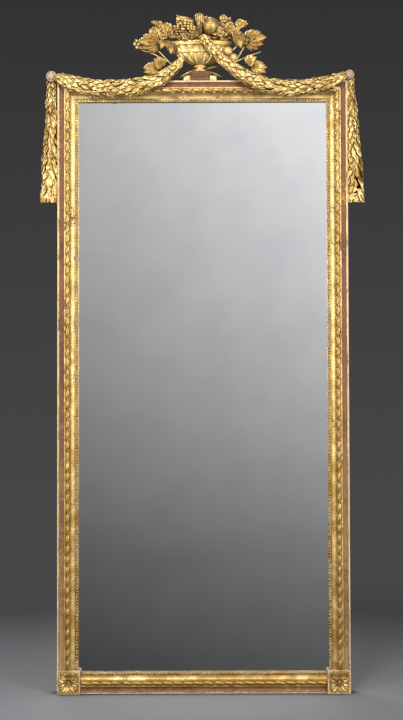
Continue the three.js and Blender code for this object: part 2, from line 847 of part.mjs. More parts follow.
function buildUrn() {
  const base = frameHeight + gap;
  const slab = box(
    crestOffset - plinthHalfWidth,
    crestOffset + plinthHalfWidth,
    frontY + 4,
    backY,
    base,
    base + plinthHeight,
  );
  const capRing = (half, front, z) => [
    point(crestOffset - half, front, z),
    point(crestOffset + half, front, z),
    point(crestOffset + half, backY, z),
    point(crestOffset - half, backY, z),
  ];
  const cap = skin([
    capRing(plinthTopHalfWidth, frontY + 8, base + plinthHeight - 1),
    capRing(plinthTopHalfWidth, frontY + 8, base + plinthHeight + plinthCapHeight * 0.25),
    capRing(plinthCapHalfWidth, frontY + 9, plinthTop),
  ]);
  add("crest_plinth", cut(join(slab, cap), peg(plinthTop, gap), brace(gap)), wornGilt);

  const z0 = plinthTop + gap;
  const footLevels = [[0, 1], [0.22, 1], [0.34, 0.78], [0.52, 0.66], [0.68, 0.95], [0.84, 0.95], [1, 0.72]];
  const footRing = ([share, radius]) => reliefRing(footRadius * radius, z0 + footHeight * share, 0, 0, 12);
  const foot = skin(footLevels.map(footRing));
  add("urn_foot", cut(join(foot, peg(plinthTop, 0)), peg(footTop, gap), brace(gap)), gilt);

  add("urn_bowl", cut(join(bowlBody(0), peg(footTop, 0)), peg(bowlTop, gap), brace(gap)), gilt);
}

// Bowl of the urn: a gadrooned underside, a fluted frieze and a moulded rim
function bowlBody(play) {
  const levels = [
    [0, 0.24, 0],
    [0.05, 0.44, 0.08],
    [0.16, 0.62, 0.11],
    [0.34, 0.74, 0.1],
    [0.47, 0.78, 0.03],
    [0.53, 0.8, 0],
    [0.56, 0.79, 0.03],
    [0.68, 0.83, 0.04],
    [0.8, 0.89, 0.02],
    [0.83, 0.93, 0],
    [0.88, 0.94, 0],
    [0.94, 1, 0],
    [1, 0.99, 0],
  ];
  const base = footTop + gap;
  const steps = bowlGadroons * 4;
  return skin(
    levels.map(([share, radius, deep]) => {
      const z = base + bowlHeight * share + play * (2 * share - 1);
      return reliefRing(bowlRadius * radius + play, z, deep ? bowlGadroons : 0, deep, steps);
    }),
  );
}

// --------------------------------------------------------------------------------- fruit and flowers

// A place on the crest, from its middle and from the top of the frame
function onCrest(x, y, z) {
  return point(crestOffset + x, y, frameHeight + z);
}

// A pointed leaf with a raised midrib, growing up from its stalk
function leaf(length, width, thickness, bow) {
  const stations = [[0, 0.18], [0.3, 0.85], [0.62, 0.9], [1, 0.06]];
  return skin(
    stations.map(([share, wide]) => {
      const z = length * share;
      const y = -bow * share * share;
      const half = (width / 2) * wide;
      const thick = thickness * (0.4 + 0.6 * wide);
      return [point(-half, y, z), point(0, y - thick, z), point(half, y, z), point(0, y + thick / 2, z)];
    }),
  );
}

// A fan of ribbed lobes that spreads from its stalk
function fan(radius, lobes, spread, thickness) {
  const levels = [[0.1, 0.7, 0], [0.45, 1.1, 0], [0.8, 1, 0.04], [1, 0.35, 0.2]];
  const turn = THREE.MathUtils.degToRad(spread);
  return skin(
    levels.map(([share, rise, scallop]) => {
      const ring = [];
      for (let i = 0; i <= 2 * lobes; i++) {
        const a = turn * (i / (2 * lobes) - 0.5);
        const ridge = i % 2 ? 1 : 0.4;
        const r = radius * share * (i % 2 ? 1 : 1 - scallop);
        ring.push(point(r * Math.sin(a), -thickness * rise * ridge, r * Math.cos(a)));
      }
      for (const a of [turn / 2, 0, -turn / 2]) {
        const r = radius * share * (1 - scallop);
        ring.push(point(r * Math.sin(a), thickness * 0.4, r * Math.cos(a)));
      }
      return ring;
    }),
  );
}

// An open flower that faces the front
function bloom(radius, petals) {
  const levels = [[0.16, 0.55, 0], [0.66, 1, 0.06], [1, 0.5, 0.2], [0.55, 0, 0]];
  return petalDisc(radius, radius * 0.7, petals, 0, levels);
}

// A stem through a few points
function stem(points, diameter) {
  const section = new THREE.Shape();
  const sidesOfStem = 6;
  for (let i = 0; i < sidesOfStem; i++) {
    const a = (2 * Math.PI * i) / sidesOfStem;
    const [x, y] = [(diameter / 2) * Math.cos(a), (diameter / 2) * Math.sin(a)];
    if (i) section.lineTo(x, y);
    else section.moveTo(x, y);
  }
  section.closePath();
  const extrudePath = new THREE.CatmullRomCurve3(points);
  return new THREE.ExtrudeGeometry(section, { steps: 2 * points.length, extrudePath });
}

// A fruit or bud turned about the upright, with ribs round it
function ribbed(radius, height, ribs, deep, levels) {
  const steps = ribs * 2;
  return skin(
    levels.map(([share, wide]) => {
      const ring = [];
      for (let i = 0; i < steps; i++) {
        const a = (2 * Math.PI * i) / steps;
        const r = radius * wide * (i % 2 ? 1 - deep : 1);
        ring.push(point(r * Math.cos(a), r * Math.sin(a), height * share));
      }
      return ring;
    }),
  );
}

// The heap of leaves and small flowers that fills the bowl
function moundBody(play) {
  const levels = [[0, 0.86], [0.3, 1], [0.66, 0.92], [1, 0.66]];
  const base = bowlTop + gap;
  return skin(
    levels.map(([share, wide]) => {
      const z = base + moundHeight * share + play * (2 * share - 1);
      return reliefRing(moundHalfWidth * wide + play, z, 5, 0.1, 20);
    }),
  );
}

// Stub of a spray in the side of the heap, or with a play its hole
function sprayPeg(hand, play) {
  const z = bowlTop + moundHeight * 0.45;
  const x = (share) => crestOffset + hand * moundHalfWidth * share;
  const inner = x(0.72) - hand * play;
  return rod(point(inner, 8, z), point(x(1.12), 8, z), pegDiameter + 2 * play, 10);
}

// Stub of a lower spray in the top of its swag, or with a play its hole
function lowerPeg(hand, play) {
  const { foot, root } = lowerPlace(hand);
  const down = new THREE.Vector3().subVectors(foot, root).normalize();
  return rod(root, foot.clone().addScaledVector(down, play), pegDiameter * 0.6 + 2 * play, 8);
}

function lowerPlace(hand) {
  return hand < 0
    ? { root: onCrest(-139, -49, 54), foot: onCrest(-126, -49, 16) }
    : { root: onCrest(172, -51, 54), foot: onCrest(162, -51, 6) };
}

function buildFruit() {
  const pomegranateAt = onCrest(37.5, -22, 193);
  const heapTop = bowlTop + gap + moundHeight - frameHeight;
  const budAt = onCrest(-2, 4, heapTop - 3);
  const tulipAt = onCrest(-52, -8, heapTop + tulipRadius * 0.8);

  // The cutter's flats lie inside its radius, so it is opened until they clear the fruit
  const grown = (pomegranateRadius + gap) / Math.cos(Math.PI / 18);
  const fruitSeat = ball(pomegranateAt, point(grown, grown, grown), 20, 12);
  const budSeat = rod(
    budAt.clone().setZ(budAt.z - gap),
    budAt.clone().setZ(budAt.z + budHeight),
    2 * (budRadius * 0.75 + gap),
    16,
  );
  const halfCup = point(tulipLength / 2 + gap, 0, 0);
  const cupBore = 2 * ((tulipRadius * 0.955) / Math.cos(Math.PI / 16) + gap);
  const cupSeat = rod(tulipAt.clone().sub(halfCup), tulipAt.clone().add(halfCup), cupBore, 16);
  const holes = [peg(bowlTop, gap), sprayPeg(-1, gap), sprayPeg(1, gap), fruitSeat, budSeat, cupSeat];
  add("flower_heap", cut(moundBody(0), ...holes), wornGilt);
  add("heap_peg", outward(peg(bowlTop, 0)), bareTimber);

  const round = [[0, 0.2], [0.06, 0.46], [0.2, 0.79], [0.42, 0.98], [0.6, 0.97], [0.8, 0.79], [0.93, 0.5], [1, 0.28]];
  const pomegranate = ribbed(pomegranateRadius * 0.98, 2 * pomegranateRadius * 0.98, 8, 0.04, round);
  pomegranate.translate(0, 0, -pomegranateRadius * 0.98).rotateX(0.5);
  add("pomegranate", outward(pomegranate.translate(...pomegranateAt.toArray())), gilt);

  const budShape = [[0, 0.5], [0.08, 0.7], [0.3, 0.74], [0.55, 1], [0.8, 0.92], [1, 0.4]];
  const bud = ribbed(budRadius, budHeight, 7, 0.12, budShape);
  add("poppy_bud", outward(bud.translate(...budAt.toArray())), gilt);

  const cupShape = [[0, 0.3], [0.15, 0.75], [0.45, 0.95], [0.8, 0.88], [1, 1], [0.97, 0.72], [0.7, 0.6]];
  const cup = ribbed(tulipRadius, tulipLength, 6, 0.08, cupShape);
  cup.rotateZ(Math.PI / 6).translate(0, 0, -tulipLength / 2).rotateY(-Math.PI / 2);
  add("tulip", outward(cup.translate(...tulipAt.toArray())), gilt);

  // Bunch of grapes over the left of the rim
  const berries = [];
  const rows = [[3, 187], [3, 171], [2, 156]];
  for (const [count, z] of rows) {
    for (let i = 0; i < count; i++) {
      const x = -54 + (i - (count - 1) / 2) * grapeRadius * 1.8;
      const half = point(grapeRadius, grapeRadius, grapeRadius);
      berries.push(ball(onCrest(x, -38 - 3 * (i % 2), z - 3 * (i % 2)), half, 7, 4));
    }
  }
  add("grape_bunch", cut(join(...berries), moundBody(gap)), gilt);
}

function buildSprays() {
  for (const [hand, name] of [[-1, "left"], [1, "right"]]) {
    const left = hand < 0;
    const z = bowlTop + moundHeight * 0.45 - frameHeight;
    const tip = left ? [-186, 128] : [178, 126];
    const branch = stem(
      [
        onCrest(hand * moundHalfWidth * 1.06, 6, z),
        onCrest(hand * (moundHalfWidth + 30), -4, z + 4),
        onCrest(tip[0] * 0.92, -10, (z + tip[1]) / 2 + 8),
        onCrest(tip[0], -12, tip[1]),
      ],
      pegDiameter,
    );
    const flowers = left
      ? [[-133, 190, 23], [-110, 180, 20], [-152, 190, 15], [-160, 166, 21], [-120, 158, 17]]
      : [[88, 216, 17], [106, 192, 22], [140, 200, 20], [120, 168, 20], [154, 172, 15]];
    const fork = onCrest(hand * (moundHalfWidth + 22), -2, z + 3);
    const pieces = [];
    for (const [x, h, r] of flowers) {
      const eye = onCrest(x, -4, h);
      pieces.push(bloom(r, 5).translate(eye.x, eye.y, eye.z), rod(fork, eye, wireDiameter, 5));
    }
    if (left) {
      pieces.push(lean(fan(66, 5, 74, 10), -80, onCrest(-160, -10, 124)));
      pieces.push(lean(leaf(44, 20, 5, 6), -70, onCrest(-128, -12, 196)));
      pieces.push(lean(leaf(40, 18, 5, 4), 70, onCrest(-140, -10, 200)));
      pieces.push(rod(onCrest(-206, -10, 112), onCrest(-104, -38, 60), wireDiameter, 6));
      pieces.push(rod(onCrest(-162, -10, 122), onCrest(-102, -36, 56), wireDiameter, 6));
    } else {
      pieces.push(lean(fan(74, 5, 78, 11), 60, onCrest(150, -10, 122)));
      pieces.push(lean(fan(45, 4, 80, 8), 121, onCrest(127, -11, 133)));
      pieces.push(lean(leaf(42, 20, 5, 6), 20, onCrest(96, -10, 200)));
      pieces.push(rod(onCrest(214, -10, 104), onCrest(112, -42, 56), wireDiameter, 6));
      pieces.push(rod(onCrest(158, -12, 122), onCrest(118, -42, 54), wireDiameter, 6));
      const upper = onCrest(98, -14, 105);
      const under = onCrest(119, -16, 80);
      pieces.push(ball(upper, point(quinceRadius, quinceRadius, quinceRadius), 12, 8));
      pieces.push(ball(under, point(quinceRadius, quinceRadius, quinceRadius), 12, 8));
      pieces.push(rod(onCrest(148, -9, 148), onCrest(104, -14, 100), wireDiameter * 1.5, 6));
    }
    const swag = left ? leftSwag(gap * 2) : rightSwag(gap * 2);
    const spray = cut(join(branch, ...pieces), moundBody(gap), bowlBody(gap * 2), swag);
    add(`${name}_spray`, join(spray, sprayPeg(hand, 0)), gilt);

    const fans = left
      ? [lean(fan(34, 4, 100, 8), -30, onCrest(-140, -47, 44)), lean(fan(46, 5, 74, 8), -74, onCrest(-140, -47, 42))]
      : [lean(fan(38, 4, 90, 8), 12, onCrest(172, -49, 46)), lean(fan(58, 5, 70, 8), 70, onCrest(170, -49, 40))];
    const lower = cut(join(...fans), swag);
    add(`${name}_lower_leaves`, join(lower, lowerPeg(hand, 0)), gilt);
  }
}

// Iron strap let in flush behind the top rail and the crest, or with a play its housing
function brace(play) {
  const half = braceWidth / 2 + play;
  const near = backY - braceThickness - play;
  const far = backY + play * 10;
  const low = frameHeight - braceDown - play;
  const high = frameHeight + braceUp + play;
  return box(crestOffset - half, crestOffset + half, near, far, low, high);
}

function buildBrace() {
  add("crest_brace", brace(0), iron);
}

buildFrame();
buildStrips();
buildCornerBlocks();
buildGlass();
buildBack();
buildHangers();
buildGarlands();
buildSwags();
buildUrn();
buildFruit();
buildSprays();
buildBrace();

export default trumeau;
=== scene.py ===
"""Giltwood trumeau mirror, dressed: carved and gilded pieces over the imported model.

Every place is in metres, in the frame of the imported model: X runs to the right, Y to the back and Z up,
and the front of the mirror faces -Y. Sizes drawn in millimetres are turned to metres by MM.
"""

import math
import random

import bmesh
import bpy
from bpy.props import FloatProperty, IntProperty, PointerProperty, StringProperty
from mathutils import Matrix, Vector


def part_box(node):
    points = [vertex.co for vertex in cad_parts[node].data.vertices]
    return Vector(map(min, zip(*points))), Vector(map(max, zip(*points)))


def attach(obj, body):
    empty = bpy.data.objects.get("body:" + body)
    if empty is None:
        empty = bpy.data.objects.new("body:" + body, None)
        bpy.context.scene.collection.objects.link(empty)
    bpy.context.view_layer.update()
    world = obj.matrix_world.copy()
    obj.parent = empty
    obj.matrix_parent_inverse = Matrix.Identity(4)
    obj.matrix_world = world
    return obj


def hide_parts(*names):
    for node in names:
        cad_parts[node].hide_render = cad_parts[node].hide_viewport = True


bl_info = {
    "name": "Trumeau mirror", "version": (1, 0, 0), "blender": (4, 5, 0),
    "location": "View3D > Sidebar > Trumeau",
    "description": "Carved, gilded and silvered pieces of a standing trumeau mirror", "category": "Object",
}

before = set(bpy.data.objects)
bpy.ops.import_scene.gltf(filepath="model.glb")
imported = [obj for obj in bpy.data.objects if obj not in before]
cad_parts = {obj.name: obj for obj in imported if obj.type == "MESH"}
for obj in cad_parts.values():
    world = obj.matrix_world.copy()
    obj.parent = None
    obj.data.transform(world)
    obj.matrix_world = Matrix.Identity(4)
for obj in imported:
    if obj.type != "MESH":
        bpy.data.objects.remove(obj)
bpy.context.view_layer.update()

MM = 0.001

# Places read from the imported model, in millimetres
rail_low, rail_high = (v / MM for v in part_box("top_rail"))
FRAME_X = rail_high.x
FRAME_TOP = rail_high.z
FRAME_FRONT = rail_low.y
FRAME_BACK = rail_high.y
RAIL_WIDTH = rail_high.z - rail_low.z
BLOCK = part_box("left_corner_block")[1].z / MM
plinth_low, plinth_high = (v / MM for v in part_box("crest_plinth"))
CREST_X = (plinth_low.x + plinth_high.x) / 2
FRONT = Vector((0, -1, 0))
SIDES = ("left", -1), ("right", 1)

# How far forward the solids of the garlands reach, in metres
GARLAND_FRONT = min(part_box(name)[0].y for name in ("right_swag", "left_swag", "right_lower_leaves"))

# The run moulding, in millimetres: how far its two seats lie behind the front, the width of the pearls' seat,
# and
# the way in from the outer edge to the middle of the twist, past fillet, band and fillet
TWIST_SEAT, PEARL_SEAT = 1, 15
PEARL_STRIP = 11.5
TWIST_WAY = 5.5 + 18 + 5 + 7

# Gap that touching pieces keep
GAP = 0.3

# Tops of the plinth, the foot and the bowl, without the pegs that stand out of them
PLINTH_TOP = FRAME_TOP + 36.3
FOOT_TALL, BOWL_TALL = 22, 82
FOOT_TOP = PLINTH_TOP + FOOT_TALL + GAP
BOWL_TOP = FOOT_TOP + BOWL_TALL + GAP

# Depth of the garlands as a share of their width
SWAG_DEPTH, DROP_DEPTH = 0.58, 0.64

# Length of the laurel leaf that the garlands' leaves are scaled from, and how far a leaf's root is set back
LAUREL = 0.038
LEAF_SET_BACK = 0.012

# Steps that a garland's curve is measured in, and even steps that it is walked in
CURVE_STEPS, WALK_STEPS = 400, 160


# ----------------------------------------------------------------------------------------- sizes and colours


class TrumeauSizes(bpy.types.PropertyGroup):
    pearl: FloatProperty(name="Pearl", description="Diameter of a pearl", default=0.0095, unit="LENGTH")
    pearl_pitch: FloatProperty(
        name="Pearl pitch", description="From pearl to pearl", default=0.0102, unit="LENGTH"
    )
    ribbon_pitch: FloatProperty(
        name="Ribbon pitch", description="One turn of the ribbon", default=0.036, unit="LENGTH"
    )
    ribbon_width: FloatProperty(
        name="Ribbon width", description="Width of the ribbon", default=0.026, unit="LENGTH"
    )
    swag_leaf: FloatProperty(
        name="Swag leaf", description="Length of a leaf of the swags", default=0.04, unit="LENGTH"
    )
    drop_leaf: FloatProperty(
        name="Drop leaf", description="Longest leaf of the drops", default=0.048, unit="LENGTH"
    )
    berry: FloatProperty(
        name="Berry", description="Diameter of a laurel berry", default=0.0085, unit="LENGTH"
    )
    petals: IntProperty(
        name="Rosette petals", description="Petals of a corner rosette", default=10, min=5, max=12
    )
    screw: FloatProperty(
        name="Screw head", description="Diameter of a screw head", default=0.008, unit="LENGTH"
    )


class TrumeauColours(bpy.types.PropertyGroup):
    gold: StringProperty(name="Gold", description="Burnished leaf", default="EFD08A")
    # The deep gold is the leaf's own toned colour, and lower down it is also painted shade
    gold_deep: StringProperty(name="Deep gold", description="Leaf toned by age", default="B48E4A")
    bole: StringProperty(name="Bole", description="Red clay under the leaf", default="70482F")
    gesso: StringProperty(name="Gesso", description="Chalk ground where the leaf has gone", default="E3C3AC")
    # The grime colour also paints shade: ambient occlusion lays it into the hollows of the gilding
    grime_and_shade: StringProperty(name="Grime", description="Dirt in the hollows", default="4C3818")
    ochre: StringProperty(name="Ochre", description="Wash on the outer sides", default="A87C3E")
    timber: StringProperty(name="Timber", description="Bare softwood", default="A8825A")
    iron: StringProperty(name="Iron", description="Blacked iron", default="2E2C2B")
    silver: StringProperty(name="Silvering", description="Silvered plate glass", default="E9EAEC")
    # The two floor colours paint a pool of light: the pale one by the mirror, the far one the painted shade beyond
    floor: StringProperty(name="Floor", description="Painted floor by the mirror", default="8E8F92")
    floor_far_shade: StringProperty(name="Far floor", description="Painted floor away from it", default="4E5256")


class TrumeauStage(bpy.types.PropertyGroup):
    distance: FloatProperty(
        name="Camera distance", description="To the frame's front", default=5.5, unit="LENGTH"
    )
    height: FloatProperty(name="Camera height", description="Above the floor", default=0.975, unit="LENGTH")
    aside: FloatProperty(name="Camera aside", description="To the right", default=-0.0055, unit="LENGTH")
    lens: FloatProperty(name="Lens", description="Focal length in millimetres", default=78.57)
    pitch: FloatProperty(name="Pitch", description="Upward tilt", default=math.radians(1.93), subtype="ANGLE")
    roll: FloatProperty(
        name="Roll", description="Turn about the line of sight", default=math.radians(-0.15), subtype="ANGLE"
    )


def sizes():
    return bpy.context.scene.trumeau_sizes


def colours():
    return bpy.context.scene.trumeau_colours


# ---------------------------------------------------------------------------------------- materials: helpers


def linear(code):
    """An sRGB hex colour as linear red, green, blue and alpha."""
    channels = [int(code[i : i + 2], 16) / 255 for i in (0, 2, 4)]
    return tuple(c / 12.92 if c <= 0.04045 else ((c + 0.055) / 1.055) ** 2.4 for c in channels) + (1.0,)


def node(tree, kind, inputs=None, **settings):
    """Adds a node with its settings, and gives each input a value or a link."""
    made = tree.nodes.new(kind)
    for key, value in settings.items():
        setattr(made, key, value)
    for key, value in (inputs or {}).items():
        if isinstance(value, bpy.types.NodeSocket):
            tree.links.new(value, made.inputs[key])
        else:
            made.inputs[key].default_value = value
    return made


def blank(name):
    """A new material with an empty tree, and the coordinates of the object that wears it."""
    made = bpy.data.materials.new(name)
    made.use_nodes = True
    tree = made.node_tree
    tree.nodes.clear()
    return made, tree, node(tree, "ShaderNodeTexCoord").outputs["Object"]


def finished(made, shader):
    node(made.node_tree, "ShaderNodeOutputMaterial", {"Surface": shader})
    return made


_made = {}


def material(maker, *args):
    """The material that the maker gives, made once."""
    key = (maker.__name__, args)
    if key not in _made:
        _made[key] = maker(*args)
    return _made[key]


def ramp(tree, value, stops):
    """A colour read from a ramp with stops, as (place, colour)."""
    made = node(tree, "ShaderNodeValToRGB", {"Fac": value})
    elements = made.color_ramp.elements
    while len(elements) < len(stops):
        elements.new(0.5)
    for element, (place, colour) in zip(elements, stops):
        element.position = place
        element.color = colour
    return made.outputs[0]


def grey(value):
    return (value, value, value, 1.0)


def calc(tree, operation, a, b=None):
    """One sum, as a value."""
    return node(tree, "ShaderNodeMath", {0: a} if b is None else {0: a, 1: b}, operation=operation).outputs[0]


def spread(tree, value, low, high, to_low=0.0, to_high=1.0, **settings):
    """A value mapped from one range to another and held inside it."""
    inputs = {"Value": value, "From Min": low, "From Max": high, "To Min": to_low, "To Max": to_high}
    return node(tree, "ShaderNodeMapRange", inputs, **settings).outputs[0]


def noise(tree, vector, scale, detail, rough=0.5, distortion=0.0):
    """Noise from 0 to 1, whose grains are about as many to the metre as the scale."""
    inputs = {
        "Vector": vector, "Scale": scale, "Detail": detail, "Roughness": rough, "Distortion": distortion
    }
    return node(tree, "ShaderNodeTexNoise", inputs).outputs["Fac"]


def bump(tree, height, strength, distance):
    return node(
        tree, "ShaderNodeBump", {"Strength": strength, "Distance": distance, "Height": height}
    ).outputs[0]


def blend(tree, factor, a, b):
    """A colour between two."""
    return node(tree, "ShaderNodeMix", {"Factor": factor, 6: a, 7: b}, data_type="RGBA").outputs[2]


def between(tree, factor, a, b):
    """A value between two."""
    return node(tree, "ShaderNodeMix", {"Factor": factor, 2: a, 3: b}, data_type="FLOAT").outputs[0]


def over(tree, factor, below, above):
    """One shader laid over another."""
    return node(tree, "ShaderNodeMixShader", {0: factor, 1: below, 2: above}).outputs[0]


def surface(tree, colour, rough, metal=0.0, normal=None, **more):
    inputs = {"Base Color": colour, "Roughness": rough, "Metallic": metal}
    if normal:
        inputs["Normal"] = normal
    return node(tree, "ShaderNodeBsdfPrincipled", {**inputs, **more}).outputs[0]


def axes(tree, vector):
    return node(tree, "ShaderNodeSeparateXYZ", {"Vector": vector}).outputs


def gilding(tree, coords, grain, rubbed, grime_and_shade=0.5, relief=1.0, under=None, tone=0.0):
    """Water gilding, as a shader: leaf laid over red bole on gesso, burnished, then rubbed and dirtied by age,
    with painted shade in the hollows and towards the floor.

    grain moves the pattern, rubbed is the share where the leaf has gone, under its colours, grime_and_shade how
    dark dirt and painted shade make the hollows, relief how rough the gesso is, and tone makes the leaf paler or
    deeper.
    """
    c = colours()
    under = under or (c.bole, "9C734B")
    place = {"Vector": coords, "Location": (grain, grain * 0.7, grain * 0.3)}
    spot = node(tree, "ShaderNodeMapping", place).outputs[0]
    # Tone of the leaf, drifting over about 40 mm, with painted shade that deepens it towards the floor
    lower = spread(tree, axes(tree, coords)["Z"], 0.0, 2.0, tone - 0.12, tone + 0.06)
    drift = calc(tree, "ADD", noise(tree, spot, 24.0, 3.0, 0.6), lower)
    hue = ramp(tree, drift, [(0.3, linear(c.gold_deep)), (0.6, linear(c.gold))])
    # Rubbing, in patches of about 7 mm with ragged edges, most of all on sharp crowns
    wear = noise(tree, spot, 140.0, 6.0, 0.62)
    both = calc(tree, "ADD", wear, noise(tree, spot, 16.0, 2.0))
    crowns = spread(tree, node(tree, "ShaderNodeNewGeometry").outputs["Pointiness"], 0.5, 0.62, 0.0, 0.16)
    cut = 1.36 - 0.5 * rubbed
    bare = spread(tree, calc(tree, "ADD", both, crowns), cut - 0.05, cut + 0.05)
    earth = ramp(tree, wear, [(0.4, linear(under[0])), (0.75, linear(under[1]))])
    # Dirt and shade in the hollows
    open_sky = node(tree, "ShaderNodeAmbientOcclusion", {"Distance": 0.011}, samples=6).outputs["AO"]
    dirt_and_shade = spread(tree, open_sky, 0.25, 0.85, grime_and_shade, 0.0)
    colour = blend(tree, dirt_and_shade, blend(tree, bare, hue, earth), linear(c.grime_and_shade))
    rough = between(tree, bare, spread(tree, wear, 0.3, 0.8, 0.32, 0.56), 0.72)
    metal = spread(tree, bare, 0.0, 1.0, 0.8, 0.05)
    # Tool marks and gesso, about 3 mm and 0.8 mm
    marks = bump(tree, noise(tree, spot, 320.0, 4.0, 0.55), 0.5 * relief, 0.0012)
    return surface(tree, colour, rough, metal, marks)


# Carved limewood, gessoed and water gilded: bright burnished crowns, red bole at the rubbed places and hollows
# browned by grime and painted shade
def water_gilded_carving(grain=0.0, rubbed=0.1, tone=-0.1, grime_and_shade=0.88):
    made, tree, coords = blank("water_gilded_carving")
    return finished(made, gilding(tree, coords, grain, rubbed, grime_and_shade, tone=tone))


# Pearls handled and dusted for two centuries: the leaf is thin, and chalky gesso shows through
def worn_pearls():
    made, tree, coords = blank("worn_pearls")
    return finished(made, gilding(tree, coords, 0.2, 0.5, 0.85, 0.6, ("8E765A", "D2BD9C"), -0.15))


# The turned buttons: handled and dusted, so that the leaf is mostly gone and pale gesso shows
def rubbed_button():
    made, tree, coords = blank("rubbed_button")
    return finished(made, gilding(tree, coords, 1.7, 0.95, 0.6, 0.6, ("A2866A", "E0C9AC")))


# Corner blocks: gilded grounds in borders that are rubbed to pink gesso, most of all at their edges
def gilded_block():
    made, tree, coords = blank("gilded_block")
    axis = axes(tree, coords)
    leaf = gilding(tree, coords, 2.9, 0.3, 0.7)
    half = BLOCK / 2 * MM
    aside = calc(tree, "SUBTRACT", calc(tree, "ABSOLUTE", axis["X"]), FRAME_X * MM - half)
    above = calc(tree, "SUBTRACT", axis["Z"], half)
    far = calc(tree, "MAXIMUM", calc(tree, "ABSOLUTE", aside), calc(tree, "ABSOLUTE", above))
    rim = spread(tree, far, 0.032, 0.04, 0.0, 0.34)
    gone = spread(tree, calc(tree, "ADD", noise(tree, coords, 110.0, 5.0, 0.7), rim), 0.68, 0.84, 0.0, 0.8)
    return finished(made, over(tree, gone, leaf, surface(tree, linear(colours().gesso), 0.8)))


# The run mouldings: gilded fillets and scoop, a band rubbed back to its red bole, ochre-washed sides and a
# bare back
def gilded_moulding():
    c = colours()
    made, tree, coords = blank("gilded_moulding")
    axis = axes(tree, coords)
    # Way in from the nearest outer edge, which follows the mitres
    from_side = calc(tree, "SUBTRACT", FRAME_X * MM, calc(tree, "ABSOLUTE", axis["X"]))
    from_top = calc(tree, "SUBTRACT", FRAME_TOP * MM, axis["Z"])
    from_end = calc(tree, "MINIMUM", from_top, axis["Z"])
    way = calc(tree, "MINIMUM", from_side, from_end)
    leaf = gilding(tree, coords, 0.0, 0.1, 0.7, 0.7, tone=-0.02)
    # Red band: clay with rubbed remains of gold, streaked along the moulding and dustier towards the foot
    streak = noise(tree, coords, 75.0, 8.0, 0.68)
    left_on = calc(tree, "ADD", streak, noise(tree, coords, 5.0, 2.0))
    red_clay = ramp(
        tree, left_on, [(0.7, linear("56290F")), (0.95, linear("6C3C1E")), (1.0, linear("7E4E2C"))]
    )
    dust_and_shade = ramp(tree, left_on, [(0.7, linear("6C5030")), (0.95, linear("84663F")), (1.0, linear("98784C"))])
    high = spread(tree, axis["Z"], 0.15, 1.25)
    clean = calc(tree, "MAXIMUM", high, spread(tree, axis["Z"], 0.075, 0.085, 0.8, 0.0))
    remains = spread(tree, left_on, 1.2, 1.42)
    colour = blend(tree, remains, blend(tree, clean, dust_and_shade, red_clay), linear("C99A55"))
    scratch = bump(tree, streak, 0.3, 0.001)
    red = surface(tree, colour, 0.55, spread(tree, remains, 0.0, 1.0, 0.0, 0.7), scratch)
    inner = spread(tree, way, 0.0228, 0.0238, 1.0, 0.0)
    band = calc(tree, "MULTIPLY", spread(tree, way, 0.0052, 0.0062), inner)
    face = over(tree, band, leaf, red)
    # Worn outer corner, back to pink gesso
    rim = spread(tree, way, 0.0, 0.0065, 0.62, 0.0)
    gone = spread(tree, calc(tree, "ADD", noise(tree, coords, 60.0, 5.0, 0.7), rim), 0.86, 0.98)
    worn = over(tree, gone, face, surface(tree, linear(c.gesso), 0.8))
    # Sides and back
    wash = ramp(tree, noise(tree, coords, 40.0, 5.0), [(0.35, linear("8A6430")), (0.65, linear(c.ochre))])
    on_side = calc(tree, "LESS_THAN", way, 0.0003)
    outer = calc(tree, "MULTIPLY", on_side, calc(tree, "GREATER_THAN", axis["Y"], -0.0195))
    sided = over(tree, outer, worn, surface(tree, wash, 0.75))
    normal = node(tree, "ShaderNodeNewGeometry").outputs["Normal"]
    facing = calc(tree, "GREATER_THAN", axes(tree, normal)["Y"], 0.5)
    back = calc(tree, "MULTIPLY", calc(tree, "GREATER_THAN", axis["Y"], 0.004), facing)
    on_rail = calc(tree, "GREATER_THAN", from_side, from_end)
    wood = over(tree, on_rail, timber_shader(tree, coords, "Z"), timber_shader(tree, coords, "X"))
    return finished(made, over(tree, back, sided, wood))


def timber_shader(tree, coords, along):
    """Planed softwood: growth rings about 3 mm apart drawn out along the grain, darkened by age."""
    stretch = {"X": (0.06, 1.0, 1.0), "Z": (1.0, 1.0, 0.06)}[along]
    spot = node(tree, "ShaderNodeMapping", {"Vector": coords, "Scale": stretch}).outputs[0]
    grain = noise(tree, spot, 70.0, 3.0, 0.5, 0.8)
    tone = calc(tree, "ADD", grain, noise(tree, spot, 9.0, 4.0, 0.5, 0.4))
    stops = [(0.36, linear("86643F")), (0.5, linear(colours().timber)), (0.64, linear("B89468"))]
    colour = ramp(tree, calc(tree, "MULTIPLY", tone, 0.5), stops)
    return surface(tree, colour, 0.72, normal=bump(tree, noise(tree, spot, 330.0, 3.0), 0.25, 0.0006))


# Bare planed softwood, gone brown: matt, with its grain along the piece
def bare_timber(along="Z"):
    made, tree, coords = blank("bare_timber_grain_" + along.lower())
    return finished(made, timber_shader(tree, coords, along))


# Silvered plate glass: a clear neutral reflection, dulled a little in patches by the age of the silvering
def silvered_plate():
    made, tree, coords = blank("silvered_plate")
    cloud = noise(tree, coords, 6.0, 3.0)
    colour = ramp(tree, cloud, [(0.35, linear("E2E3E6")), (0.65, linear(colours().silver))])
    return finished(made, surface(tree, colour, 0.0, 1.0))


# Blacked wrought iron: dark, half matt, with rust in its pits
def blacked_iron():
    made, tree, coords = blank("blacked_iron")
    pits = noise(tree, coords, 500.0, 6.0, 0.7)
    both = calc(tree, "ADD", pits, noise(tree, coords, 90.0, 3.0))
    colour = ramp(tree, both, [(0.9, linear(colours().iron)), (1.0, linear("5B3A28"))])
    rust = spread(tree, both, 0.95, 1.15)
    rough = spread(tree, rust, 0.0, 1.0, 0.45, 0.85)
    metal = spread(tree, rust, 0.0, 1.0, 0.9, 0.2)
    return finished(made, surface(tree, colour, rough, metal, bump(tree, pits, 0.3, 0.0005)))


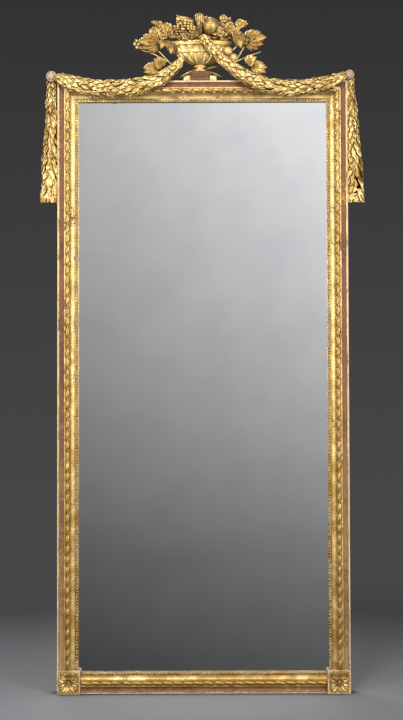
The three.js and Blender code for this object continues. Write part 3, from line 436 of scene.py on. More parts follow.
# Plinth of the crest: rubbed to the red bole between gilded ends
def rubbed_plinth():
    made, tree, coords = blank("rubbed_plinth")
    axis = axes(tree, coords)
    leaf = gilding(tree, coords, 4.0, 0.15, 0.6, 0.7)
    clay = gilding(tree, coords, 4.5, 1.25, 0.6, 0.7, ("664528", "8C6840"))
    off = calc(tree, "ABSOLUTE", calc(tree, "SUBTRACT", axis["X"], CREST_X * MM))
    slab = spread(tree, axis["Z"], (FRAME_TOP + 17) * MM, (FRAME_TOP + 18) * MM, 1.0, 0.0)
    return finished(
        made, over(tree, calc(tree, "MULTIPLY", spread(tree, off, 0.034, 0.037), slab), clay, leaf)
    )


# Matt floor paint with a painted pool of light: pale by the mirror and painted darker further out, it ends
# softly in the dark of the studio, and reflections pass through it
def floor_paint():
    made, tree, coords = blank("matt_floor_paint")
    far = node(tree, "ShaderNodeVectorMath", {0: coords}, operation="LENGTH").outputs["Value"]
    # Painted light: the floor is pale by the mirror and painted darker from 0.4 m to 2.4 m out
    shade = spread(tree, far, 0.4, 2.4)
    colour = blend(tree, shade, linear(colours().floor), linear(colours().floor_far_shade))
    # Shade where the frame meets the floor
    open_sky = node(tree, "ShaderNodeAmbientOcclusion", {"Distance": 0.1}, samples=8).outputs["AO"]
    dust_and_shade = blend(tree, spread(tree, open_sky, 0.5, 0.88, 0.97, 0.0), colour, linear("1A1B1C"))
    paint = surface(tree, dust_and_shade, 0.8, **{"Specular IOR Level": 0.2})
    edge = spread(tree, far, 1.0, 4.0, interpolation_type="SMOOTHSTEP")
    gone = calc(tree, "MAXIMUM", edge, node(tree, "ShaderNodeLightPath").outputs["Is Glossy Ray"])
    return finished(made, over(tree, gone, paint, node(tree, "ShaderNodeBsdfTransparent").outputs[0]))


# ---------------------------------------------------------------------------------------- modelling: helpers


def fresh():
    """Object mode, with nothing selected."""
    if bpy.context.object and bpy.context.object.mode != "OBJECT":
        bpy.ops.object.mode_set(mode="OBJECT")
    bpy.ops.object.select_all(action="DESELECT")


def active(obj):
    fresh()
    obj.select_set(True)
    bpy.context.view_layer.objects.active = obj
    return obj


def closed():
    """Back to object mode."""
    bpy.ops.object.mode_set(mode="OBJECT")


def everything():
    bpy.ops.mesh.select_all(action="SELECT")


def opened(obj):
    """Opens an object in edit mode, with all of it selected."""
    active(obj)
    bpy.ops.object.mode_set(mode="EDIT")
    everything()
    return obj


def start(add, **settings):
    """Adds a primitive and opens it in edit mode, with all of it selected."""
    fresh()
    add(**settings)
    bpy.ops.object.mode_set(mode="EDIT")
    bpy.ops.mesh.select_mode(type="VERT")
    everything()
    return bpy.context.object


def pick(test, faces=False):
    """Selects in edit mode the points, or the faces by their middle and normal, that pass the test."""
    bpy.ops.mesh.select_mode(type="FACE" if faces else "VERT")
    bpy.ops.mesh.select_all(action="DESELECT")
    mesh = bpy.context.object.data
    grid = bmesh.from_edit_mesh(mesh)
    found = 0
    if faces:
        for f in grid.faces:
            if test(f.calc_center_median(), f.normal):
                f.select_set(True)
                found += 1
    else:
        for v in grid.verts:
            if test(v.co):
                v.select_set(True)
                found += 1
        grid.select_flush_mode()
    bmesh.update_edit_mesh(mesh)
    return found


def move(x=0.0, y=0.0, z=0.0):
    bpy.ops.transform.translate(value=(x, y, z))


def twist(angle, axis):
    bpy.ops.transform.rotate(value=angle, orient_axis=axis, center_override=(0, 0, 0))


def swell(x, y, z, about=(0, 0, 0)):
    bpy.ops.transform.resize(value=(x, y, z), center_override=about)


def rows_of(obj, axis):
    """The levels of a form in edit mode along one axis, from low to high."""
    levels = []
    for value in sorted(v.co[axis] for v in bmesh.from_edit_mesh(obj.data).verts):
        if not levels or value - levels[-1] > 2e-5:
            levels.append(value)
    return levels


def modifier(obj, kind, **settings):
    """Adds one modifier and applies it."""
    active(obj)
    made = obj.modifiers.new(kind.lower(), kind)
    for key, value in settings.items():
        setattr(made, key, value)
    bpy.ops.object.modifier_apply(modifier=made.name)
    return obj


def tidy(obj, merge=0.00001):
    """Merges doubles and turns every face outwards."""
    opened(obj)
    bpy.ops.mesh.remove_doubles(threshold=merge)
    bpy.ops.mesh.normals_make_consistent(inside=False)
    closed()
    return obj


def smooth(obj, degrees=40):
    active(obj)
    bpy.ops.object.shade_smooth_by_angle(angle=math.radians(degrees))
    return obj


def seat(obj):
    """Puts the object's place, turn and size into its mesh."""
    active(obj)
    bpy.ops.object.transform_apply(location=True, rotation=True, scale=True)
    return obj


def chain(points):
    """A line of points, drawn by extruding the first one along."""
    obj = start(bpy.ops.mesh.primitive_plane_add, size=0.001)
    bpy.ops.mesh.merge(type="CENTER")
    bpy.ops.transform.translate(value=points[0])
    for a, b in zip(points, points[1:]):
        bpy.ops.mesh.extrude_region_move(TRANSFORM_OT_translate={"value": b - a})
    return obj


def turned(points, steps, angle=360.0):
    """A turned form: a drawn outline spun about Z."""
    obj = chain(points)
    everything()
    bpy.ops.mesh.spin(steps=steps, angle=math.radians(angle), center=(0, 0, 0), axis=(0, 0, 1))
    closed()
    return tidy(obj)


def tube(points, radii, sides=8):
    """A round stem through points, with its radius at each."""
    fresh()
    bpy.ops.curve.primitive_nurbs_path_add()
    obj = bpy.context.object
    obj.name = "stem"
    data = obj.data
    data.splines.clear()
    line = data.splines.new("BEZIER")
    line.bezier_points.add(len(points) - 1)
    for knot, place, radius in zip(line.bezier_points, points, radii):
        knot.co = place
        knot.handle_left_type = knot.handle_right_type = "AUTO"
        knot.radius = radius
    data.dimensions = "3D"
    data.resolution_u = 6
    data.bevel_depth = 1.0
    data.bevel_resolution = max(0, sides // 4 - 1)
    data.use_fill_caps = True
    active(obj)
    bpy.ops.object.convert(target="MESH")
    return tidy(bpy.context.object)


def copies(model, places, name):
    """Copies of a model, each with its own mesh, at each place, joined into one piece."""
    made = []
    for place in places:
        mesh = model.data.copy()
        mesh.transform(place)
        if place.determinant() < 0:
            mesh.flip_normals()
        part = bpy.data.objects.new(name, mesh)
        bpy.context.scene.collection.objects.link(part)
        made.append(part)
    return joined(made, name)


def joined(parts, name):
    fresh()
    for part in parts:
        part.select_set(True)
    bpy.context.view_layer.objects.active = parts[0]
    if len(parts) > 1:
        bpy.ops.object.join()
    parts[0].name = name
    return parts[0]


def scrap(*models):
    """Takes away a model that has been copied."""
    for model in models:
        bpy.data.objects.remove(model)


def core(node_name, depth):
    """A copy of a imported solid, merged and sunk by a depth, to lie under carved leaves."""
    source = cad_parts[node_name]
    obj = bpy.data.objects.new(node_name + "_core", source.data.copy())
    bpy.context.scene.collection.objects.link(obj)
    tidy(obj)
    return modifier(obj, "DISPLACE", strength=-depth * MM, mid_level=0.0)


def pressed(obj):
    """Presses a carving back towards the frame's front, to the depth that the solids give the garlands."""
    front, deep = FRAME_FRONT * MM, min(v.co.y for v in obj.data.vertices)
    if deep < GARLAND_FRONT:
        opened(obj)
        swell(1, (GARLAND_FRONT - front) / (deep - front), 1, (0, front, 0))
        closed()
    return obj


def piece(obj, look, body="mirror", instead=(), angle=40):
    """Gives a finished piece its material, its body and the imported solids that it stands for."""
    seat(obj)
    smooth(obj, angle)
    obj.data.materials.clear()
    obj.data.materials.append(look)
    obj.data.name = obj.name
    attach(obj, body)
    if instead:
        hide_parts(*instead)
    return obj


def basis(origin, across, along, out, size=1.0):
    """A place whose X, Y and Z axes are across, along and out, with a size or three."""
    s = size if isinstance(size, (tuple, list)) else (size, size, size)
    turn = Matrix((across * s[0], along * s[1], out * s[2])).transposed()
    return Matrix.Translation(origin) @ turn.to_4x4()


def aim(origin, along, out, size=1.0):
    """A place at an origin that points along, with its face towards out."""
    y = along.normalized()
    x = y.cross(out).normalized()
    return basis(origin, x, y, x.cross(y), size)


# --------------------------------------------------------------------------------------- modelling: carvings


def carved_leaf(length, width, thick, outline, arch, groove):
    """A carved leaf from its stalk at the origin along Y, face up: a rounded blade with a groove down its midrib.

    outline is the width at each row as a share, and arch how high each row rides.
    """
    rows = len(outline)
    leaf = start(bpy.ops.mesh.primitive_uv_sphere_add, segments=8, ring_count=rows + 1, radius=0.5)
    twist(math.pi / 2, "X")
    move(0, -2, 0)
    levels = rows_of(leaf, 1)
    for i, level in enumerate(levels):
        pick(lambda co: abs(co.y - level) < 1e-3)
        share = i / (len(levels) - 1)
        if 0 < i < len(levels) - 1:
            ring = math.sqrt(max(1e-9, 0.25 - (level + 2) ** 2))
            wide = outline[i - 1]
            swell(wide * width / (2 * ring), 1, thick * (0.35 + 0.65 * wide) / (2 * ring), (0, level, 0))
        move(0, share * length - level, arch[i])
    pick(lambda co: abs(co.x) < width * 0.02 and 0.12 * length < co.y < 0.93 * length)
    keep_top(leaf)
    move(z=-thick * groove)
    closed()
    return tidy(leaf)


def keep_top(obj):
    """Of the picked points, keeps those on faces that look up."""
    grid = bmesh.from_edit_mesh(obj.data)
    grid.normal_update()
    for v in grid.verts:
        if v.select and v.normal.z < 0.2:
            v.select_set(False)
    grid.select_flush_mode()
    bmesh.update_edit_mesh(obj.data)


def laurel_leaf():
    """One laurel leaf, narrow and pointed."""
    lift = [0.0, 0.0012, 0.0022, 0.003, 0.0032, 0.0028, 0.0018, 0.0012]
    return carved_leaf(LAUREL, 0.0135, 0.0052, [0.5, 0.82, 1.0, 0.96, 0.74, 0.38], lift, 0.42)


def lobe():
    """One lobe of a carved leaf, 30 mm long: it rolls over at its tip."""
    lift = [0.0, 0.0014, 0.0035, 0.005, 0.0056, 0.0048, 0.0022]
    return carved_leaf(0.03, 0.0135, 0.0066, [0.6, 0.86, 1.0, 1.0, 0.84], lift, 0.5)


def petal():
    """One petal, 20 mm long: broad, hollow in the middle and turned up at its edge."""
    lift = [0.0, -0.0002, 0.0008, 0.0026, 0.0046, 0.0056]
    return carved_leaf(0.02, 0.017, 0.0042, [0.42, 0.82, 1.0, 0.86], lift, 0.75)


def berry(segments=10, rings=7):
    """One berry of 1 m diameter, to be sized where it is placed, with a dimple where its flower was."""
    obj = start(bpy.ops.mesh.primitive_uv_sphere_add, segments=segments, ring_count=rings, radius=0.5)
    levels = rows_of(obj, 2)
    pick(lambda co: co.z > levels[-1] - 1e-5)
    move(z=-0.12)
    closed()
    return tidy(obj)


def heading(angle):
    """A way in the plane of the frame, clockwise from straight up."""
    return Vector((math.sin(angle), 0, math.cos(angle)))


def cubic(p0, p1, p2, p3, t):
    u = 1 - t
    return p0 * u**3 + p1 * 3 * u * u * t + p2 * 3 * u * t * t + p3 * t**3


def walk(path):
    """The shares of a path at even steps of its length, and that length."""
    fine = [path(i / CURVE_STEPS) for i in range(CURVE_STEPS + 1)]
    run = [0.0]
    for a, b in zip(fine, fine[1:]):
        run.append(run[-1] + (b - a).length)
    even = []
    j = 0
    for i in range(WALK_STEPS + 1):
        goal = run[-1] * i / WALK_STEPS
        while j < CURVE_STEPS - 1 and run[j + 1] < goal:
            j += 1
        k = (goal - run[j]) / max(1e-9, run[j + 1] - run[j])
        even.append((j + k) / CURVE_STEPS)
    return even, run[-1]


def leaf_places(path, radius, flat, pitch, leaf_size, meet, seed, around, tilt):
    """Places of overlapping leaves round a garland.

    path and radius take a share of the way, flat squashes the garland front to back, meet is where the two runs of
    leaves meet, around lists the angles of a whorl in degrees, 90 being the front, and tilt lifts the tips.
    """
    dice = random.Random(seed)
    shares, length = walk(path)
    places = []
    run_up = 0.0
    k = 0
    while run_up < length:
        t = shares[min(WALK_STEPS, int(WALK_STEPS * run_up / length))]
        forward = run_up / length < meet
        ahead = path(min(1.0, t + 0.01)) - path(max(0.0, t - 0.01))
        way = Vector((ahead.x, 0, ahead.z)).normalized() * (1 if forward else -1)
        side = way.cross(FRONT).normalized()
        r = radius(t)
        turn = around[1] - around[0] if k % 2 else 0
        for angle in around:
            a = math.radians(angle + turn / 2 + dice.uniform(-10, 10))
            out = (side * math.cos(a) * flat + FRONT * math.sin(a)).normalized()
            slide = dice.uniform(-0.004, 0.004) - LEAF_SET_BACK * leaf_size(t)
            base = path(t) + side * (r * 0.7 * math.cos(a)) + FRONT * (
                r * flat * 0.74 * math.sin(a)
            ) + way * slide
            lift = math.radians(tilt + dice.uniform(-5, 9))
            splay = math.radians(dice.uniform(-10, 10)) + math.radians(14) * math.cos(a)
            run = (way * math.cos(splay) + side * math.sin(splay)).normalized()
            run = run - out * run.dot(out)
            along = (run.normalized() * math.cos(lift) + out * math.sin(lift)).normalized()
            scale = leaf_size(t) * dice.uniform(0.84, 1.12)
            places.append(aim(base, along, out, (scale * dice.uniform(0.9, 1.12), scale, scale)))
        run_up += pitch * leaf_size(t)
        k += 1
    return places


def sized(place, size):
    """A place with one size all round."""
    return Matrix.Translation(place) @ Matrix.Scale(size, 4)


def scattered(path, radius, flat, count, size, seed, low=20, high=160):
    """Places of berries between the leaves of a garland."""
    dice = random.Random(seed)
    places = []
    for i in range(count):
        t = (i + dice.random()) / count
        ahead = path(min(1.0, t + 0.01)) - path(max(0.0, t - 0.01))
        side = Vector((ahead.x, 0, ahead.z)).normalized().cross(FRONT)
        a = math.radians(dice.uniform(low, high))
        r = radius(t)
        at = path(t) + side * (r * math.cos(a)) + FRONT * (r * flat * 1.12 * math.sin(a))
        places.append(sized(at, size * dice.uniform(0.8, 1.15)))
    return places


def crest(x, y, z):
    """A place on the crest, from its middle and from the top of the frame, in millimetres."""
    return Vector((CREST_X + x, y, FRAME_TOP + z)) * MM


def knob(hand):
    """Middle and radius of a button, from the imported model."""
    low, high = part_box("left_button" if hand < 0 else "right_button")
    return (low + high) / 2, (high.x - low.x) / 2


# Half widths of the garlands along their way from the buttons, as the solids have them


def left_swag_radius(t):
    k = min(1.0, max(0.0, (t - 0.62) / 0.38))
    return (11 + 17 * (1 - abs(2 * t - 1) ** 6)) * (1 - 0.5 * k * k * (3 - 2 * k)) * MM


def right_swag_radius(t):
    return (8.5 + 17.5 * abs(math.sin(math.pi * t**0.85)) ** 0.85) * MM


def swag_path(hand):
    middle, radius = knob(hand)
    x, r = middle.x / MM, radius / MM
    if hand < 0:
        ends = (x + r + 4, FRAME_TOP + 10), (CREST_X - 61, FOOT_TOP + 0.29 * BOWL_TALL)
        handles = (100, -55), (-80, -155)
    else:
        ends = (x - r - 3, FRAME_TOP + 14), (CREST_X + 6, BOWL_TOP + 14)
        handles = (-95, -45), (180, -260)
    p0, p3 = (Vector((a, 0, b)) for a, b in ends)
    p1 = p0 + Vector((handles[0][0], 0, handles[0][1]))
    p2 = p3 + Vector((handles[1][0], 0, handles[1][1]))
    width = left_swag_radius if hand < 0 else right_swag_radius

    def path(t):
        p = cubic(p0, p1, p2, p3, t)
        front = -31.3
        if hand > 0:
            k = min(1.0, max(0.0, (t - 0.55) / 0.3))
            front += (-42.5 - front) * k * k * (3 - 2 * k)
        p.y = front - GAP - width(t) / MM * SWAG_DEPTH * 0.985
        return p * MM

    return path, width


# --------------------------------------------------------------------------------------------- the operators


class TRUMEAU_OT_frame(bpy.types.Operator):
    """Gilds the run mouldings and the corner blocks, silvers the plate and leaves the hidden timber bare"""

    bl_idname = "trumeau.frame"
    bl_label = "Frame, plate and back"

    def execute(self, context):
        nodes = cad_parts
        looks = {}
        for name in nodes:
            if name == "mirror_plate":
                looks[name] = material(silvered_plate)
            elif name.endswith(("_stile", "_rail")) and not name.startswith("back_"):
                looks[name] = material(gilded_moulding)
            elif name.endswith("corner_block"):
                looks[name] = material(gilded_block)
            elif name.startswith(("back_", "glue_")) or name.endswith(("_key", "_dowel", "_peg")):
                across = name.endswith(("_rail", "_dowel")) or name in ("glue_block_top", "glue_block_bottom")
                looks[name] = material(bare_timber, "X" if across else "Z")
            elif name.endswith(("_strap", "_ring", "_brace")):
                looks[name] = material(blacked_iron)
            else:
                looks[name] = material(water_gilded_carving, 0.0, 0.1)
        for name, look in looks.items():
            for place in nodes[name].material_slots:
                place.material = look
        return {"FINISHED"}


def strip_runs():
    """The four sides that carved strips run along: way in, way along, corner, and from where to where."""
    x, top = FRAME_X * MM, FRAME_TOP * MM
    block = BLOCK * MM
    return {
        "left": (Vector((1, 0, 0)), Vector((0, 0, 1)), Vector((-x, 0, 0)), block, top),
        "right": (Vector((-1, 0, 0)), Vector((0, 0, 1)), Vector((x, 0, 0)), block, top),
        "top": (Vector((0, 0, -1)), Vector((1, 0, 0)), Vector((0, 0, top)), -x, x),
        "bottom": (Vector((0, 0, 1)), Vector((1, 0, 0)), Vector((0, 0, 0)), block - x, x - block),
    }


class TRUMEAU_OT_pearls(bpy.types.Operator):
    """Strings the pearls along the sight edge"""

    bl_idname = "trumeau.pearls"
    bl_label = "Pearls"

    def execute(self, context):
        s = sizes()
        seat_y = (FRAME_FRONT + PEARL_SEAT - GAP) * MM
        r = s.pearl / 2
        pearl = start(bpy.ops.mesh.primitive_uv_sphere_add, segments=10, ring_count=8, radius=r)
        twist(math.pi / 2, "X")
        bpy.ops.mesh.bisect(plane_co=(0, 0.0001, 0), plane_no=(0, 1, 0), clear_outer=True, use_fill=True)
        pick(lambda co: co.y < r * 0.2)
        swell(1, 1.1, 1)
        closed()
        tidy(pearl)
        # The strip under the pearls, with eased edges
        bead = start(bpy.ops.mesh.primitive_cube_add, size=1)
        closed()
        middle = (RAIL_WIDTH - PEARL_STRIP / 2) * MM
        for side, (inward, along, corner, low, high) in strip_runs().items():
            if side == "top":
                first, last = low + middle, high - middle
            elif side == "bottom":
                first, last = low, high
            else:
                first, last = low, high - middle
            count = int((last - first) / s.pearl_pitch)
            pitch = (last - first) / count
            base = corner + inward * middle + Vector((0, seat_y, 0))
            places = [Matrix.Translation(base + along * (first + pitch * (i + 0.5))) for i in range(count)]
            pearls = copies(pearl, places, f"{side}_pearls")
            size = Vector((11, 1.6, 11)) * MM
            size[0 if along.x else 2] = last - first
            centre = base + along * ((first + last) / 2) + Vector((0, -0.0008, 0))
            strip = copies(
                bead, [Matrix.Translation(centre) @ Matrix.Diagonal((*size, 1))], f"{side}_pearl_base"
            )
            modifier(strip, "BEVEL", width=0.0007, segments=2)
            whole = joined([pearls, strip], f"{side}_pearls")
            piece(whole, material(worn_pearls), instead=[f"{side}_pearl_strip"])
        scrap(pearl, bead)
        return {"FINISHED"}


class TRUMEAU_OT_ribbon(bpy.types.Operator):
    """Winds the carved ribbon round its rod along the moulding"""

    bl_idname = "trumeau.ribbon"
    bl_label = "Ribbon twist"

    def execute(self, context):
        s = sizes()
        half = s.ribbon_width / 2
        seat_y = (FRAME_FRONT + TWIST_SEAT - GAP) * MM
        middle = TWIST_WAY * MM
        # One turn of ribbon: a crowned band that climbs as it crosses the rod. It is drawn along Z
        outline = [
            Vector((0.0040, 0, -half)), Vector((0.0068, 0, -half * 0.9)), Vector((0.0083, 0, -half * 0.5)),
            Vector((0.0079, 0, 0)), Vector((0.0083, 0, half * 0.5)), Vector((0.0068, 0, half * 0.9)),
            Vector((0.0040, 0, half)),
        ]
        band = chain(outline)
        everything()
        bpy.ops.mesh.edge_face_add()
        bpy.ops.mesh.delete(type="ONLY_FACE")
        closed()
        modifier(
            band, "SCREW", angle=math.radians(-180), screw_offset=s.ribbon_pitch * 0.42, steps=9,
            render_steps=9, axis="Z",
        )
        opened(band)
        bpy.ops.mesh.remove_doubles(threshold=0.00001)
        everything()
        bpy.ops.mesh.fill_holes(sides=0)
        move(0, 0, -s.ribbon_pitch * 0.21)
        swell(1, 0.86, 1)
        closed()
        tidy(band)
        rod = start(bpy.ops.mesh.primitive_cylinder_add, vertices=12, radius=0.0032, depth=1)
        bpy.ops.mesh.bisect(plane_co=(0, 0.0002, 0), plane_no=(0, 1, 0), clear_outer=True, use_fill=True)
        closed()
        tidy(rod)
        for side, (inward, along, corner, low, high) in strip_runs().items():
            first, last = low + (middle if side == "top" else 0.001), high - (
                middle if side != "bottom" else 0.001
            )
            count = round((last - first) / s.ribbon_pitch)
            pitch = (last - first) / count
            base = corner + inward * middle + Vector((0, seat_y, 0))
            # The model's Z goes along the side and its front stays in front
            turn = Matrix(
                (along.cross(Vector((0, -1, 0))) * -1, Vector((0, 1, 0)), along)
            ).transposed().to_4x4()
            places = [
                Matrix.Translation(base + along * (first + pitch * (i + 0.5))) @ turn for i in range(count)
            ]
            bands = copies(band, places, f"{side}_ribbon")
            centre = Matrix.Translation(base + along * ((first + last) / 2))
            stick = copies(rod, [centre @ turn @ Matrix.Diagonal((1, 1, last - first, 1))], f"{side}_rod")
            whole = joined([bands, stick], f"{side}_ribbon")
            piece(
                whole, material(water_gilded_carving, 0.5, 0.14, -0.2),
                instead=[f"{side}_ribbon_twist"],
            )
        scrap(band, rod)
        return {"FINISHED"}


class TRUMEAU_OT_rosettes(bpy.types.Operator):
    """Carves the rosettes of the corner blocks"""

    bl_idname = "trumeau.rosettes"
    bl_label = "Corner rosettes"

    def execute(self, context):
        count = sizes().petals
        model = petal()
        small = berry(8, 6)
        for side in ("left", "right"):
            low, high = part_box(f"{side}_rosette")
            centre = Vector(((low.x + high.x) / 2, high.y, (low.z + high.z) / 2))
            places, beads = [], []
            square = (BLOCK / 2 - 8) * MM
            for i in range(count):
                a = 2 * math.pi * i / count
                ray = heading(a)
                reach = min(square / max(abs(ray.x), abs(ray.z)), square * 1.24)
                long = (reach - 0.005) / 0.02
                places.append(
                    aim(
                        centre + ray * 0.005 + FRONT * 0.0016, ray + FRONT * 0.03, FRONT,
                        (long * 0.66, long, 1.0),
                    )
                )
                b = a + math.pi / count
                ray = heading(b)
                long = square * 0.98 / 0.02
                places.append(
                    aim(centre + ray * 0.004 + FRONT * 0.0004, ray, FRONT, (long * 0.72, long, 0.9))
                )
                places.append(
                    aim(centre + ray * 0.002 + FRONT * 0.0034, ray + FRONT * 0.1, FRONT, (0.6, 0.62, 0.9))
                )
            for i in range(9):
                a = 2 * math.pi * i / 9
                ray = heading(a)
                at = centre + ray * 0.0042 + FRONT * 0.0075
                beads.append(sized(at, 0.0032))
            beads.append(sized(centre + FRONT * 0.0062, 0.0064))
            disc = turned(
                [
                    Vector((0, 0, 0)), Vector((0.0225, 0, 0)), Vector((0.021, 0, 0.0022)),
                    Vector((0.006, 0, 0.0036)), Vector((0, 0, 0.0036)),
                ],
                24,
            )
            base = copies(
                disc, [Matrix.Translation(centre) @ Matrix.Rotation(math.pi / 2, 4, "X")], "rosette_base"
            )
            scrap(disc)
            whole = joined(
                [base, copies(model, places, "petals"), copies(small, beads, "eye")], f"{side}_corner_rosette"
            )
            piece(
                whole, material(water_gilded_carving, 0.9, 0.2, 0.0, 0.7),
                instead=[f"{side}_rosette"],
            )
        scrap(model, small)
        return {"FINISHED"}


class TRUMEAU_OT_buttons(bpy.types.Operator):
    """Turns the buttons that the garlands hang from"""

    bl_idname = "trumeau.buttons"
    bl_label = "Buttons"

    def execute(self, context):
        outline = [
            (0, 0), (0.5, 0), (0.5, 0.3), (0.86, 0.32), (0.97, 0.4), (1.0, 0.52), (0.96, 0.64), (0.84, 0.7)
        ]
        outline += [(0.8, 0.66), (0.72, 0.72), (0.6, 0.86), (0.42, 0.96), (0.2, 1.0), (0, 1.0)]
        for side, hand in SIDES:
            low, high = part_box(f"{side}_button")
            centre, radius = knob(hand)
            deep = high.y - low.y
            points = [Vector((r * radius, 0, h * deep)) for r, h in outline]
            form = turned(points, 40)
            place = Matrix.Translation(
                Vector((centre.x, high.y, centre.z))
            ) @ Matrix.Rotation(math.pi / 2, 4, "X")
            form.matrix_world = place
            form.name = f"{side}_turned_button"
            piece(form, material(rubbed_button), instead=[f"{side}_button"], angle=30)
        return {"FINISHED"}


class TRUMEAU_OT_drops(bpy.types.Operator):
    """Hangs the laurel drops down the outer sides of the stiles"""

    bl_idname = "trumeau.drops"
    bl_label = "Laurel drops"

    def execute(self, context):
        s = sizes()
        leaf = laurel_leaf()
        seed = berry()
        for side, hand in SIDES:
            middle, radius = knob(hand)
            low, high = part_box(f"{side}_drop")
            foot = low.z - 0.008
            top = Vector((middle.x, -0.014, middle.z + radius * 0.6))
            end = Vector((hand * (FRAME_X * MM + 0.0305 * 0.95), -0.014, foot))

            def path(t):
                return top.lerp(end, t)

            def width(t):
                return (12 + 18.5 * t) * MM

            def width_at_foot(t):
                return width(1.0)

            size = s.drop_leaf / LAUREL
            places = leaf_places(
                path, width, DROP_DEPTH, 0.021, lambda t: size * (0.52 + 0.58 * t), 2, f"{side} drop",
                [-18, 34, 86, 138, 190], 10.0,
            )
            places += leaf_places(
                lambda t: path(0.9 + 0.13 * t), width_at_foot, DROP_DEPTH, 0.02, lambda t: size, 2, side,
                [-10, 20, 50, 80, 110, 140, 170], 3.0,
            )
            leaves = copies(leaf, places, f"{side}_drop_leaves")
            berries = copies(
                seed,
                scattered(
                    lambda t: path(0.92 * t), width, DROP_DEPTH, 22, s.berry, f"{side} berries", 30, 150
                ),
                "berries",
            )
            rope = tube(
                [path(0.0), path(0.5), path(1.0)], [width(t) * 0.84 for t in (0.0, 0.5, 1.0)], sides=16
            )
            opened(rope)
            swell(1, 0.56, 1, top)
            closed()
            whole = joined([rope, leaves, berries], f"{side}_laurel_drop")
            opened(whole)
            for where, way in (
                ((hand * (FRAME_X + 0.3) * MM, 0, 0), (-hand, 0, 0)), ((0, 0, foot + 0.0002), (0, 0, -1)),
                ((hand * abs(high.x if hand > 0 else low.x), 0, 0), (hand, 0, 0)),
                ((0, low.y - 0.001, 0), (0, -1, 0)),
            ):
                everything()
                bpy.ops.mesh.bisect(plane_co=where, plane_no=way, clear_outer=True, use_fill=True)
            closed()
            piece(
                whole, material(water_gilded_carving, 2.1, 0.04, -0.1, 0.5),
                instead=[f"{side}_drop"], angle=58,
            )
        scrap(leaf, seed)
        return {"FINISHED"}


class TRUMEAU_OT_swags(bpy.types.Operator):
    """Hangs the laurel swags from the buttons to the urn"""

    bl_idname = "trumeau.swags"
    bl_label = "Laurel swags"

    def execute(self, context):
        s = sizes()
        leaf = laurel_leaf()
        seed = berry()
        for side, hand in SIDES:
            path, width = swag_path(hand)
            size = s.swag_leaf / LAUREL
            meet = 0.52 if hand < 0 else 0.55
            full = width(0.5)
            places = leaf_places(
                path, width, SWAG_DEPTH, 0.0175, lambda t: size * (0.6 + 0.4 * width(t) / full), meet,
                f"{side} swag", [-14, 30, 74, 118, 162, 206], 9.0,
            )
            shares = [i / 24 for i in range(25)]
            rope = tube([path(t) for t in shares], [width(t) * 0.56 for t in shares])
            leaves = copies(leaf, places, f"{side}_swag_leaves")
            berries = copies(
                seed, scattered(path, width, SWAG_DEPTH, 26, s.berry, f"{side} swag berries"), "berries"
            )
            whole = joined([rope, leaves, berries], f"{side}_laurel_swag")
            piece(
                pressed(whole), material(water_gilded_carving, 2.6, 0.04),
                instead=[f"{side}_swag"], angle=58,
            )
        scrap(leaf, seed)
        return {"FINISHED"}


